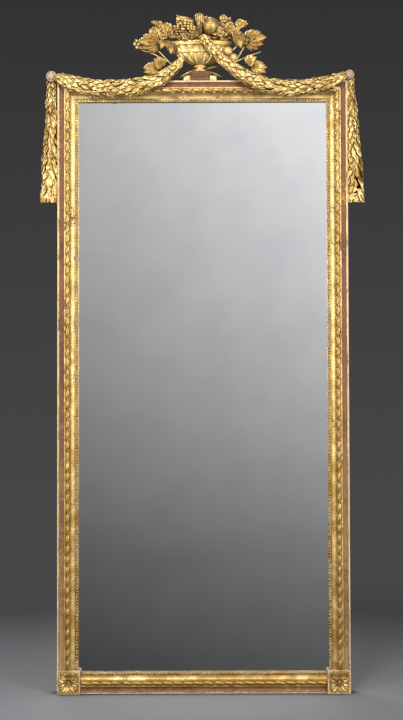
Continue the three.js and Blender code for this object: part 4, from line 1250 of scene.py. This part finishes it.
class TRUMEAU_OT_urn(bpy.types.Operator):
    """Carves the stepped plinth, the foot and the gadrooned bowl of the urn"""

    bl_idname = "trumeau.urn"
    bl_label = "Plinth and urn"

    def execute(self, context):
        self.plinth()
        self.relief("urn_foot", "carved_foot", FOOT_OUTLINE, PLINTH_TOP + GAP, 0)
        self.relief("urn_bowl", "carved_bowl", BOWL_OUTLINE, FOOT_TOP + GAP, 9)
        return {"FINISHED"}

    def plinth(self):
        low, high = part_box("crest_plinth")
        slab_top = FRAME_TOP * MM + 0.0173
        size = Vector((high.x - low.x, high.y - low.y, slab_top - low.z))
        slab = start(bpy.ops.mesh.primitive_cube_add, size=1)
        swell(*size)
        bpy.ops.transform.translate(value=(low + Vector((high.x, high.y, slab_top))) / 2)
        # End blocks stand beside a sunk middle
        for share in (-0.62, 0.62):
            everything()
            bpy.ops.mesh.bisect(plane_co=(CREST_X * MM + share * size.x / 2, 0, 0), plane_no=(1, 0, 0))
        pick(lambda c, n: n.y < -0.5 and abs(c.x - CREST_X * MM) < 0.02, faces=True)
        bpy.ops.mesh.inset(thickness=0.003, depth=-0.003)
        closed()
        modifier(slab, "BEVEL", width=0.0008, segments=2)
        cap = start(bpy.ops.mesh.primitive_cube_add, size=1)
        half = 0.038
        bpy.ops.transform.resize(value=(2 * half, high.y - low.y - 0.004, 0.0049), center_override=(0, 0, 0))
        bpy.ops.transform.translate(value=(CREST_X * MM, (high.y + low.y + 0.004) / 2, slab_top + 0.0024))
        for rise, wide in ((0.00001, 0.91), (0.0105, 0.84), (0.00001, 1.06), (0.0035, 1.0)):
            pick(lambda c, n: n.z > 0.5, faces=True)
            bpy.ops.mesh.extrude_region_move(TRANSFORM_OT_translate={"value": (0, 0, rise)})
            swell(wide, 1, 1, (CREST_X * MM, 0, 0))
        closed()
        modifier(cap, "BEVEL", width=0.0006, segments=2, limit_method="ANGLE")
        whole = joined([slab, cap], "stepped_plinth")
        piece(whole, material(rubbed_plinth), instead=["crest_plinth"], angle=30)

    def relief(self, node_name, name, outline, base, lobes):
        """Half-relief form: an outline of (share of radius, share of height) spun through half a turn."""
        radius, tall = (115, BOWL_TALL) if lobes else (26, FOOT_TALL)
        steps = lobes * 8 if lobes else 28
        points = [Vector((r * radius, 0, h * tall)) * MM for r, h, _ in outline]
        form = turned(points, steps, 180.0)
        opened(form)
        if max(v.co.y for v in form.data.vertices) > 0.001:
            everything()
            swell(1, -1, 1)
        for _, h, deep in outline:
            if not deep:
                continue
            level = h * tall * MM
            for share, sink in ((0, deep), (1, deep * 0.45), (7, deep * 0.45)):

                def groove(co):
                    a = math.degrees(math.atan2(-co.y, co.x)) / (180 / lobes)
                    phase = round(a * 8) % 8
                    return abs(co.z - level) < 1e-5 and phase == share

                if pick(groove):
                    swell(1 - sink, 1 - sink, 1)
        for r, h, _ in outline:
            level = h * tall * MM
            if pick(lambda co: abs(co.z - level) < 1e-5) and r > 0:
                reach = (8 + 0.3 * r * radius) / (r * radius)
                swell(1, min(1.0, reach), 1)
        # The open side goes straight to the flat back
        bpy.ops.mesh.select_all(action="DESELECT")
        bpy.ops.mesh.select_mode(type="EDGE")
        bpy.ops.mesh.select_non_manifold(extend=False)
        grid = bmesh.from_edit_mesh(form.data)
        for e in grid.edges:
            if e.select and any(abs(v.co.y) > 0.0002 for v in e.verts):
                e.select_set(False)
        bmesh.update_edit_mesh(form.data)
        bpy.ops.mesh.extrude_region_move(TRANSFORM_OT_translate={"value": (0, FRAME_BACK * MM, 0)})
        everything()
        bpy.ops.mesh.fill_holes(sides=0)
        everything()
        move(CREST_X * MM, 0, base * MM)
        closed()
        form.name = name
        tidy(form)
        if not lobes:
            form = joined([form, self.sprigs()], name)
        piece(form, material(water_gilded_carving, 3.3, 0.1), instead=[node_name], angle=50)

    def sprigs(self):
        """Thin leaves that spring from either side of the foot."""
        leaf = laurel_leaf()
        places = []
        for x0, z0, x1, z1 in ((-18, 41, -78, 6), (18, 41, 66, 50), (30, 34, 82, 9)):
            start_at, end_at = crest(x0, -18, z0), crest(x1, -30, z1)
            along = end_at - start_at
            places.append(aim(start_at, along, FRONT, (0.46, along.length / LAUREL, 0.8)))
        made = copies(leaf, places, "sprigs")
        scrap(leaf)
        return made


# Outlines of the urn: share of the radius, share of the height and how deep the flutes are there
FOOT_OUTLINE = [
    (0.0, 0.0, 0), (0.98, 0.0, 0), (1.0, 0.04, 0), (1.0, 0.2, 0), (0.94, 0.26, 0), (0.8, 0.3, 0),
    (0.68, 0.42, 0), (0.66, 0.54, 0), (0.76, 0.6, 0), (0.93, 0.64, 0), (0.98, 0.74, 0), (0.93, 0.84, 0),
    (0.76, 0.88, 0), (0.72, 0.99, 0), (0.0, 1.0, 0),
]
BOWL_OUTLINE = [
    (0.0, 0.0, 0), (0.22, 0.0, 0), (0.27, 0.02, 0.03), (0.37, 0.06, 0.1), (0.47, 0.11, 0.13),
    (0.56, 0.18, 0.14), (0.63, 0.26, 0.14), (0.685, 0.34, 0.13), (0.725, 0.41, 0.11), (0.745, 0.455, 0.06),
    (0.74, 0.48, 0), (0.79, 0.5, 0), (0.8, 0.525, 0), (0.79, 0.55, 0), (0.785, 0.56, 0.03),
    (0.815, 0.62, 0.06), (0.85, 0.68, 0.065), (0.88, 0.74, 0.05), (0.905, 0.78, 0.03), (0.915, 0.8, 0),
    (0.965, 0.815, 0), (0.975, 0.84, 0), (0.96, 0.865, 0), (0.965, 0.88, 0), (0.99, 0.91, 0), (1.0, 0.945, 0),
    (0.995, 0.985, 0), (0.97, 1.0, 0), (0.0, 1.0001, 0),
]


class TRUMEAU_OT_fruit(bpy.types.Operator):
    """Fills the urn with fruit, buds and leaves"""

    bl_idname = "trumeau.fruit"
    bl_label = "Fruit and flowers"

    def execute(self, context):
        leaf, flower, ball = lobe(), petal(), berry(12, 8)
        self.heap(leaf, flower, ball)
        self.pomegranate(leaf)
        self.bud()
        self.tulip(flower, ball)
        self.grapes(ball, leaf)
        scrap(leaf, flower, ball)
        return {"FINISHED"}

    def heap(self, leaf, flower, ball):
        dice = random.Random("heap")
        places = []
        rows = [(156, 98, 13), (166, 96, 12), (178, 88, 11), (190, 74, 9), (200, 60, 7)]
        for row, (z, wide, count) in enumerate(rows):
            for i in range(count):
                a = math.pi * (i + 0.5 + 0.3 * (row % 2)) / count
                reach = 8 + 0.3 * wide
                at = crest(-wide * math.cos(a) * 0.9, -reach * math.sin(a) * 0.9, z)
                out = Vector((-math.cos(a) * 0.7, -math.sin(a), 0.25)).normalized()
                along = (Vector((-math.cos(a) * 0.9, -0.35, dice.uniform(-0.5, 0.9)))).normalized()
                places.append(aim(at, along, out, dice.uniform(0.8, 1.15)))
        leaves = copies(leaf, places, "heap_leaves")
        blooms = bloom_parts(
            flower, ball, [(-86, -30, 164, 17), (72, -38, 166, 15), (84, -28, 182, 15), (-18, -40, 162, 12)]
        )
        whole = joined([core("flower_heap", 9.0), leaves, *blooms], "heap_of_leaves")
        piece(
            whole, material(water_gilded_carving, 5.4, 0.12), instead=["flower_heap"],
            angle=62,
        )

    def pomegranate(self, leaf):
        low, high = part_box("pomegranate")
        centre, r = (low + high) / 2, (high.x - low.x) / 2
        fruit = start(bpy.ops.mesh.primitive_uv_sphere_add, segments=18, ring_count=11, radius=r)
        # Ribs that wind round the fruit, with seeds between them
        for level in rows_of(fruit, 2)[1:-1]:
            pick(lambda co: abs(co.z - level) < 1e-5)
            twist(level / r * 0.9, "Z")
        pick(lambda c, n: abs(c.z) < r * 0.86, faces=True)
        bpy.ops.mesh.inset(thickness=0.0012, depth=0.0008, use_individual=True)
        pick(lambda co: co.z > r * 0.9)
        swell(0.8, 0.8, 1)
        closed()
        crown = turned(
            [
                Vector(p) * MM
                for p in (
                    (0, 0, 0), (8, 0, 0), (6.5, 0, 3), (9.5, 0, 9), (7.5, 0, 9.5), (4.5, 0, 4), (0, 0, 3)
                )
            ],
            20,
        )
        crown.location = (0, 0, r - 0.0035)
        seat(crown)
        whole = joined([fruit, crown], "carved_pomegranate")
        whole.matrix_world = Matrix.Translation(centre) @ Matrix.Rotation(
            math.radians(-34), 4, "Y"
        ) @ Matrix.Rotation(math.radians(24), 4, "X")
        piece(whole, material(water_gilded_carving, 5.7, 0.2), instead=["pomegranate"])

    def bud(self):
        low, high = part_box("poppy_bud")
        centre, tall, r = (low + high) / 2, high.z - low.z, (high.x - low.x) / 2
        outline = [
            (0, 0), (0.5, 0), (0.66, 0.05), (0.7, 0.16), (0.74, 0.3), (0.9, 0.42), (1.0, 0.56), (0.99, 0.7),
            (0.88, 0.84), (0.62, 0.94), (0.3, 0.985), (0, 1.0),
        ]
        form = turned([Vector((a * r, 0, b * tall)) for a, b in outline], 40)
        opened(form)
        for level in rows_of(form, 2)[2:-1]:
            pick(
                lambda co: abs(co.z - level) < 1e-5 and round(
                    math.degrees(math.atan2(co.y, co.x)) / 9
                ) % 4 == 0
            )
            swell(0.86, 0.86, 1)
        closed()
        form.location = (centre.x, centre.y, low.z)
        form.name = "carved_poppy_bud"
        piece(form, material(water_gilded_carving, 5.9, 0.1), instead=["poppy_bud"], angle=60)

    def tulip(self, flower, ball):
        low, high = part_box("tulip")
        centre, long, r = (low + high) / 2, high.x - low.x, (high.z - low.z) / 2
        outline = [
            (0, 0), (0.22, 0.0), (0.42, 0.06), (0.66, 0.2), (0.82, 0.38), (0.88, 0.56), (0.86, 0.76),
            (0.92, 0.9),
        ]
        outline += [(1.0, 0.985), (0.96, 1.0), (0.84, 0.9), (0.76, 0.7), (0.68, 0.5), (0, 0.46)]
        cup = turned([Vector((a * r, 0, b * long)) for a, b in outline], 36)
        opened(cup)
        for level in rows_of(cup, 2)[1:]:
            pick(
                lambda co: abs(co.z - level) < 1e-5 and co.xy.length > r * 0.6 and round(
                    math.degrees(math.atan2(co.y, co.x)) / 10
                ) % 6 == 0
            )
            swell(0.88, 0.88, 1 if level < long * 0.8 else 0.95)
        closed()
        cup.location = (0, 0, -long / 2)
        seat(cup)
        stamens = copies(
            ball,
            [
                Matrix.Translation(
                    (math.cos(a) * r * 0.42, math.sin(a) * r * 0.42, long * 0.2)
                ) @ Matrix.Scale(0.011, 4)
                for a in (0, 1.3, 2.5, 3.8, 5.0)
            ],
            "stamens",
        )
        whole = joined([cup, stamens], "carved_tulip")
        whole.matrix_world = Matrix.Translation(centre) @ Matrix.Rotation(math.radians(-83), 4, "Y")
        piece(whole, material(water_gilded_carving, 6.2, 0.12), instead=["tulip"], angle=55)

    def grapes(self, ball, leaf):
        dice = random.Random("grapes")
        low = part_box("grape_bunch")[0]
        places = []
        rows = [
            (196, 30, 5), (187, 37, 7), (178, 38, 7), (169, 34, 6), (160, 28, 6), (151, 20, 4), (144, 10, 2)
        ]
        for z, half, count in rows:
            for i in range(count):
                x = -54 + half * (2 * (i + 0.5) / count - 1) + dice.uniform(-3, 3)
                y = -38 - 9 * (1 - abs(2 * (i + 0.5) / count - 1) ** 2) + dice.uniform(-2, 2)
                at = crest(x, y, z + dice.uniform(-1.5, 1.5))
                at.y = max(at.y, low.y + 0.0065)
                places.append(
                    Matrix.Translation(at) @ Matrix.Rotation(dice.uniform(0, 3), 4, "X") @ Matrix.Scale(
                        dice.uniform(0.0092, 0.0138), 4
                    )
                )
                places.append(
                    Matrix.Translation(at + Vector((0.003, 0.008, -0.003))) @ Matrix.Scale(0.013, 4)
                )
        whole = copies(ball, places, "carved_grapes")
        piece(whole, material(water_gilded_carving, 6.6, 0.06), instead=["grape_bunch"], angle=60)


def bloom_parts(flower, ball, wanted):
    """Open flowers that face the front: (x, y, z on the crest, radius), each of five petals round a beaded
    eye."""
    petals, eyes = [], []
    for n, (x, y, z, r) in enumerate(wanted):
        centre = crest(x, y, z)
        scale = r / 20
        for i in range(5):
            a = 2 * math.pi * (i + 0.37 * n) / 5
            ray = heading(a)
            petals.append(
                aim(
                    centre + ray * 0.0015, ray + FRONT * 0.25, FRONT - ray * 0.1, (scale * 1.12, scale, scale)
                )
            )
        for i in range(6):
            a = 2 * math.pi * i / 6
            ray = heading(a)
            eyes.append(sized(centre + ray * 0.003 * scale + FRONT * 0.003, 0.0034 * scale + 0.0008))
        eyes.append(sized(centre + FRONT * 0.0035, 0.0045 * scale + 0.001))
    return [copies(flower, petals, "petals"), copies(ball, eyes, "eyes")]


def stems(*rows):
    """Round stems, each as points on the crest and the radius at each point in millimetres."""
    return [tube([crest(*p) for p in points], [r * MM for r in radii]) for points, radii in rows]


def leaf_fan(x, y, z, degrees, fan, lobes, length, curl=0.25):
    """Places of the lobes of one carved leaf, of a length in millimetres: they fan out from a root on the crest,
    about a heading in degrees from straight up, clockwise."""
    root = crest(x, y, z)
    places = []
    for i in range(lobes):
        share = i / (lobes - 1) - 0.5
        a = math.radians(degrees + fan * share)
        ray = heading(a)
        size = length / 30 * (1 - 0.95 * abs(share))
        along = (ray + FRONT * curl).normalized()
        places.append(aim(root + ray * 0.004, along, FRONT, (size * 0.95, size, size * 1.5)))
    return places


def leaves_of(model, fans):
    return copies(model, [place for fan in fans for place in leaf_fan(*fan)], "leaves")


class TRUMEAU_OT_sprays(bpy.types.Operator):
    """Carves the sprays of leaves, flowers and fruit on either side of the urn"""

    bl_idname = "trumeau.sprays"
    bl_label = "Sprays"

    def execute(self, context):
        leaf, flower, ball = lobe(), petal(), berry(12, 8)
        branch = stems(
            (((-88, 6, 168), (-118, -2, 172), (-160, -9, 152), (-196, -12, 128)), (6, 5.5, 4.5, 3)),
            (((-206, -10, 112), (-160, -24, 92), (-104, -38, 60)), (2.2, 2.2, 2.2)),
            (((-162, -10, 122), (-134, -24, 92), (-102, -36, 56)), (2.2, 2.2, 2.2)),
            (((-118, -2, 172), (-132, -6, 186), (-150, -6, 200)), (4, 3, 2)),
        )
        fans = [(-146, -13, 130, -84, 130, 7, 72, 0.16), (-150, -17, 122, -104, 90, 6, 44)]
        fans += [(-136, -13, 198, -74, 44, 3, 36), (-116, -12, 152, -150, 100, 5, 46)]
        fans += [(-104, -14, 158, -40, 130, 6, 38), (-96, -12, 142, -172, 80, 5, 50)]
        leaves = leaves_of(leaf, fans)
        blooms = [(-161, -17, 172, 20), (-144, -15, 195, 18), (-115, -16, 188, 19)]
        blooms += [(-130, -20, 162, 16), (-98, -20, 166, 15)]
        blooms = bloom_parts(flower, ball, blooms)
        berries = [(-224, 142), (-230, 131), (-216, 130), (-222, 119), (-209, 143), (-208, 118)]
        fruit = copies(ball, [sized(crest(x, -16, z), 0.0135) for x, z in berries], "berries")
        self.spray([*branch, leaves, fruit, *blooms], "left_flower_spray", "left_spray")

        branch = stems(
            (((88, 6, 168), (124, -2, 172), (156, -8, 158), (186, -12, 130)), (6, 5.5, 4.5, 3)),
            (((214, -10, 104), (168, -26, 84), (112, -42, 56)), (2.2, 2.2, 2.2)),
            (((158, -12, 122), (140, -26, 90), (118, -42, 54)), (2.2, 2.2, 2.2)),
            (((148, -9, 148), (128, -12, 122), (104, -14, 100)), (3.5, 3, 2.5)),
            (((110, -2, 172), (100, -6, 190), (88, -8, 216)), (4, 3, 2)),
        )
        fans = [(160, -13, 138, 80, 130, 7, 74, 0.16), (168, -17, 142, 62, 90, 5, 44)]
        fans += [(132, -15, 172, 168, 80, 5, 62), (140, -13, 148, 112, 80, 4, 40)]
        fans += [(116, -14, 158, 40, 160, 7, 38), (98, -12, 202, 8, 100, 4, 28)]
        fans += [(96, -14, 160, 232, 90, 5, 32), (146, -12, 196, 62, 70, 4, 28)]
        leaves = leaves_of(leaf, fans)
        blooms = [(83, -15, 221, 14), (106, -18, 191, 18), (142, -15, 202, 18)]
        blooms += [(126, -20, 168, 16), (90, -20, 172, 15)]
        blooms = bloom_parts(flower, ball, blooms)
        self.spray([*branch, leaves, self.quinces(), *blooms], "right_flower_spray", "right_spray")

        for side, stalk, fans in (
            (
                "left", ((-126, -48, 16), (-134, -47, 34)),
                ((-130, -49, 42, -38, 110, 6, 46), (-146, -50, 40, -102, 90, 6, 58)),
            ),
            (
                "right", ((162, -50, 6), (168, -48, 36)),
                ((164, -50, 50, 42, 100, 6, 46), (180, -51, 46, 108, 90, 6, 62)),
            ),
        ):
            parts = [*stems((stalk, (3, 2))), leaves_of(leaf, fans)]
            self.spray(parts, f"{side}_lower_spray", f"{side}_lower_leaves")
        scrap(leaf, flower, ball)
        return {"FINISHED"}

    def spray(self, parts, name, node_name):
        look = material(water_gilded_carving, 7.2, 0.06, 0.1, 0.7)
        piece(pressed(joined(parts, name)), look, instead=[node_name], angle=62)

    def quinces(self):
        """Two round fruits, each with a lattice of small faces."""
        quince = start(bpy.ops.mesh.primitive_uv_sphere_add, segments=14, ring_count=10, radius=0.0185)
        pick(lambda c, n: abs(c.z) < 0.016, faces=True)
        bpy.ops.mesh.inset(thickness=0.0008, depth=0.0009, use_individual=True)
        closed()
        upper = Matrix.Translation(crest(98, -14, 105)) @ Matrix.Rotation(0.6, 4, "Y")
        lower = Matrix.Translation(crest(119, -16, 80)) @ Matrix.Rotation(1.0, 4, "Y") @ Matrix.Scale(0.92, 4)
        fruits = copies(quince, [upper, lower], "quinces")
        scrap(quince)
        return fruits


class TRUMEAU_OT_irons(bpy.types.Operator):
    """Forges the hanging rings, and drives the screws of their straps and of the brace"""

    bl_idname = "trumeau.irons"
    bl_label = "Irons and screws"

    def execute(self, context):
        r = sizes().screw / 2
        head = turned(
            [
                Vector((0, 0, 0)), Vector((r, 0, 0)), Vector((r * 0.96, 0, r * 0.16)),
                Vector((r * 0.6, 0, r * 0.42)), Vector((0, 0, r * 0.48)),
            ],
            20,
        )
        opened(head)
        for x in (-0.1, 0.1):
            everything()
            bpy.ops.mesh.bisect(plane_co=(x * r * 2, 0, 0), plane_no=(1, 0, 0))
        pick(lambda c, n: abs(c.x) < 0.1 * r * 2 and n.z > 0.5, faces=True)
        bpy.ops.mesh.inset(thickness=0.00001, depth=-r * 0.25)
        closed()
        for side in ("left", "right"):
            low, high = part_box(f"{side}_hanger_strap")
            screws = (low.z + 0.009, 0.4), (low.z + 0.026, 1.3)
            self.drive(head, (low.x + high.x) / 2, low.y + 0.002, screws, f"{side}_strap_screws")
            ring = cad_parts[f"{side}_hanger_ring"]
            wire = bpy.data.objects.new(f"{side}_forged_ring", ring.data.copy())
            bpy.context.scene.collection.objects.link(wire)
            tidy(wire, 0.0001)
            modifier(wire, "SUBSURF", levels=2, render_levels=2)
            piece(
                wire, material(blacked_iron), body=f"{side}_ring", instead=[f"{side}_hanger_ring"],
                angle=80,
            )
        low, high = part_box("crest_brace")
        screws = (low.z + 0.012, 0.2), (low.z + 0.032, 0.9), (low.z + 0.12, 1.4), (high.z - 0.012, 0.1)
        self.drive(head, (low.x + high.x) / 2, high.y, screws, "brace_screws")
        scrap(head)
        return {"FINISHED"}

    def drive(self, head, x, y, screws, name):
        """Drives screws into an iron from behind, each given as its height and the turn of its slot."""
        inward = Matrix.Rotation(math.radians(-90), 4, "X")
        places = [
            Matrix.Translation((x, y, z)) @ inward @ Matrix.Rotation(turn, 4, "Z") for z, turn in screws
        ]
        piece(copies(head, places, name), material(blacked_iron), angle=30)


class TRUMEAU_OT_stage(bpy.types.Operator):
    """Sets the floor, the studio light and the camera"""

    bl_idname = "trumeau.stage"
    bl_label = "Stage"

    def execute(self, context):
        scene = context.scene
        s = scene.trumeau_stage
        scene.view_settings.view_transform = "Standard"
        floor = start(bpy.ops.mesh.primitive_plane_add, size=60)
        bpy.ops.mesh.subdivide(number_cuts=3)
        closed()
        floor.name = "studio_floor"
        floor.data.materials.append(material(floor_paint))
        self.world(scene)
        for name, place, size, power in (
            ("top_light", (-0.7, -3.8, 5.0), 1.0, 112), ("left_light", (-2.5, -3.6, 1.8), 2.0, 92),
            ("right_light", (2.5, -3.6, 1.8), 2.0, 98), ("back_light", (-1.4, 3.4, 4.8), 2.4, 100),
        ):
            light = bpy.data.lights.new(name, "AREA")
            light.shape = "DISK"
            light.size = size
            light.energy = power
            lamp = bpy.data.objects.new(name, light)
            scene.collection.objects.link(lamp)
            lamp.location = place
            lamp.rotation_euler = (Vector((0, 0, 1.3)) - Vector(place)).to_track_quat("-Z", "Y").to_euler()
        data = bpy.data.cameras.new("camera")
        data.lens = s.lens
        camera = bpy.data.objects.new("camera", data)
        scene.collection.objects.link(camera)
        place = Matrix.Translation((s.aside, FRAME_FRONT * MM - s.distance, s.height))
        turn = Matrix.Rotation(math.pi / 2 + s.pitch, 4, "X") @ Matrix.Rotation(s.roll, 4, "Z")
        camera.matrix_world = place @ turn
        scene.camera = camera
        return {"FINISHED"}

    def world(self, scene):
        """A dark studio behind the mirror, and before it a soft wall of light that grows upwards and to the
        right."""
        world = bpy.data.worlds.new("studio")
        scene.world = world
        world.use_nodes = True
        tree = world.node_tree
        tree.nodes.clear()
        axis = axes(tree, node(tree, "ShaderNodeTexCoord").outputs["Generated"])
        ahead = calc(tree, "MULTIPLY", axis["Y"], -1.0)
        safe = calc(tree, "MAXIMUM", ahead, 0.2)
        share = spread(tree, calc(tree, "DIVIDE", axis["Z"], safe), -0.2, 0.5)
        levels = ((0.0, 0.07), (0.06, 0.082), (0.155, 0.155), (0.57, 0.75), (1.0, 0.3))
        rise = ramp(tree, share, [(place, grey(level)) for place, level in levels])
        lean = spread(tree, calc(tree, "DIVIDE", axis["X"], safe), -0.09, 0.09, 0.765, 1.395)
        dark = spread(tree, axis["Z"], -0.05, 0.26, 0.062, 0.032)
        front = spread(tree, ahead, -0.1, 0.5, interpolation_type="SMOOTHSTEP")
        level = between(tree, front, dark, calc(tree, "MULTIPLY", rise, lean))
        back = node(tree, "ShaderNodeBackground", {"Color": level, "Strength": 1.0})
        node(tree, "ShaderNodeOutputWorld", {"Surface": back.outputs[0]})


OPERATORS = (
    TRUMEAU_OT_frame, TRUMEAU_OT_pearls, TRUMEAU_OT_ribbon, TRUMEAU_OT_rosettes, TRUMEAU_OT_buttons,
    TRUMEAU_OT_drops, TRUMEAU_OT_swags, TRUMEAU_OT_urn, TRUMEAU_OT_fruit, TRUMEAU_OT_sprays, TRUMEAU_OT_irons,
    TRUMEAU_OT_stage,
)


class TRUMEAU_PT_panel(bpy.types.Panel):
    bl_idname = "TRUMEAU_PT_panel"
    bl_label = "Trumeau mirror"
    bl_space_type = "VIEW_3D"
    bl_region_type = "UI"
    bl_category = "Trumeau"

    def draw(self, context):
        for group in (
            context.scene.trumeau_sizes, context.scene.trumeau_colours, context.scene.trumeau_stage
        ):
            box = self.layout.box()
            for name in group.__annotations__:
                box.prop(group, name)
        for operator in OPERATORS:
            self.layout.operator(operator.bl_idname)


GROUPS = (TrumeauSizes, TrumeauColours, TrumeauStage)


def register():
    for made in (*GROUPS, *OPERATORS, TRUMEAU_PT_panel):
        bpy.utils.register_class(made)
    bpy.types.Scene.trumeau_sizes = PointerProperty(type=TrumeauSizes)
    bpy.types.Scene.trumeau_colours = PointerProperty(type=TrumeauColours)
    bpy.types.Scene.trumeau_stage = PointerProperty(type=TrumeauStage)


def unregister():
    del bpy.types.Scene.trumeau_sizes
    del bpy.types.Scene.trumeau_colours
    del bpy.types.Scene.trumeau_stage
    for made in reversed((*GROUPS, *OPERATORS, TRUMEAU_PT_panel)):
        bpy.utils.unregister_class(made)


def main():
    register()
    bpy.ops.trumeau.frame()
    bpy.ops.trumeau.pearls()
    bpy.ops.trumeau.ribbon()
    bpy.ops.trumeau.rosettes()
    bpy.ops.trumeau.buttons()
    bpy.ops.trumeau.drops()
    bpy.ops.trumeau.swags()
    bpy.ops.trumeau.urn()
    bpy.ops.trumeau.fruit()
    bpy.ops.trumeau.sprays()
    bpy.ops.trumeau.irons()
    bpy.ops.trumeau.stage()


if __name__ == "__main__":
    main()
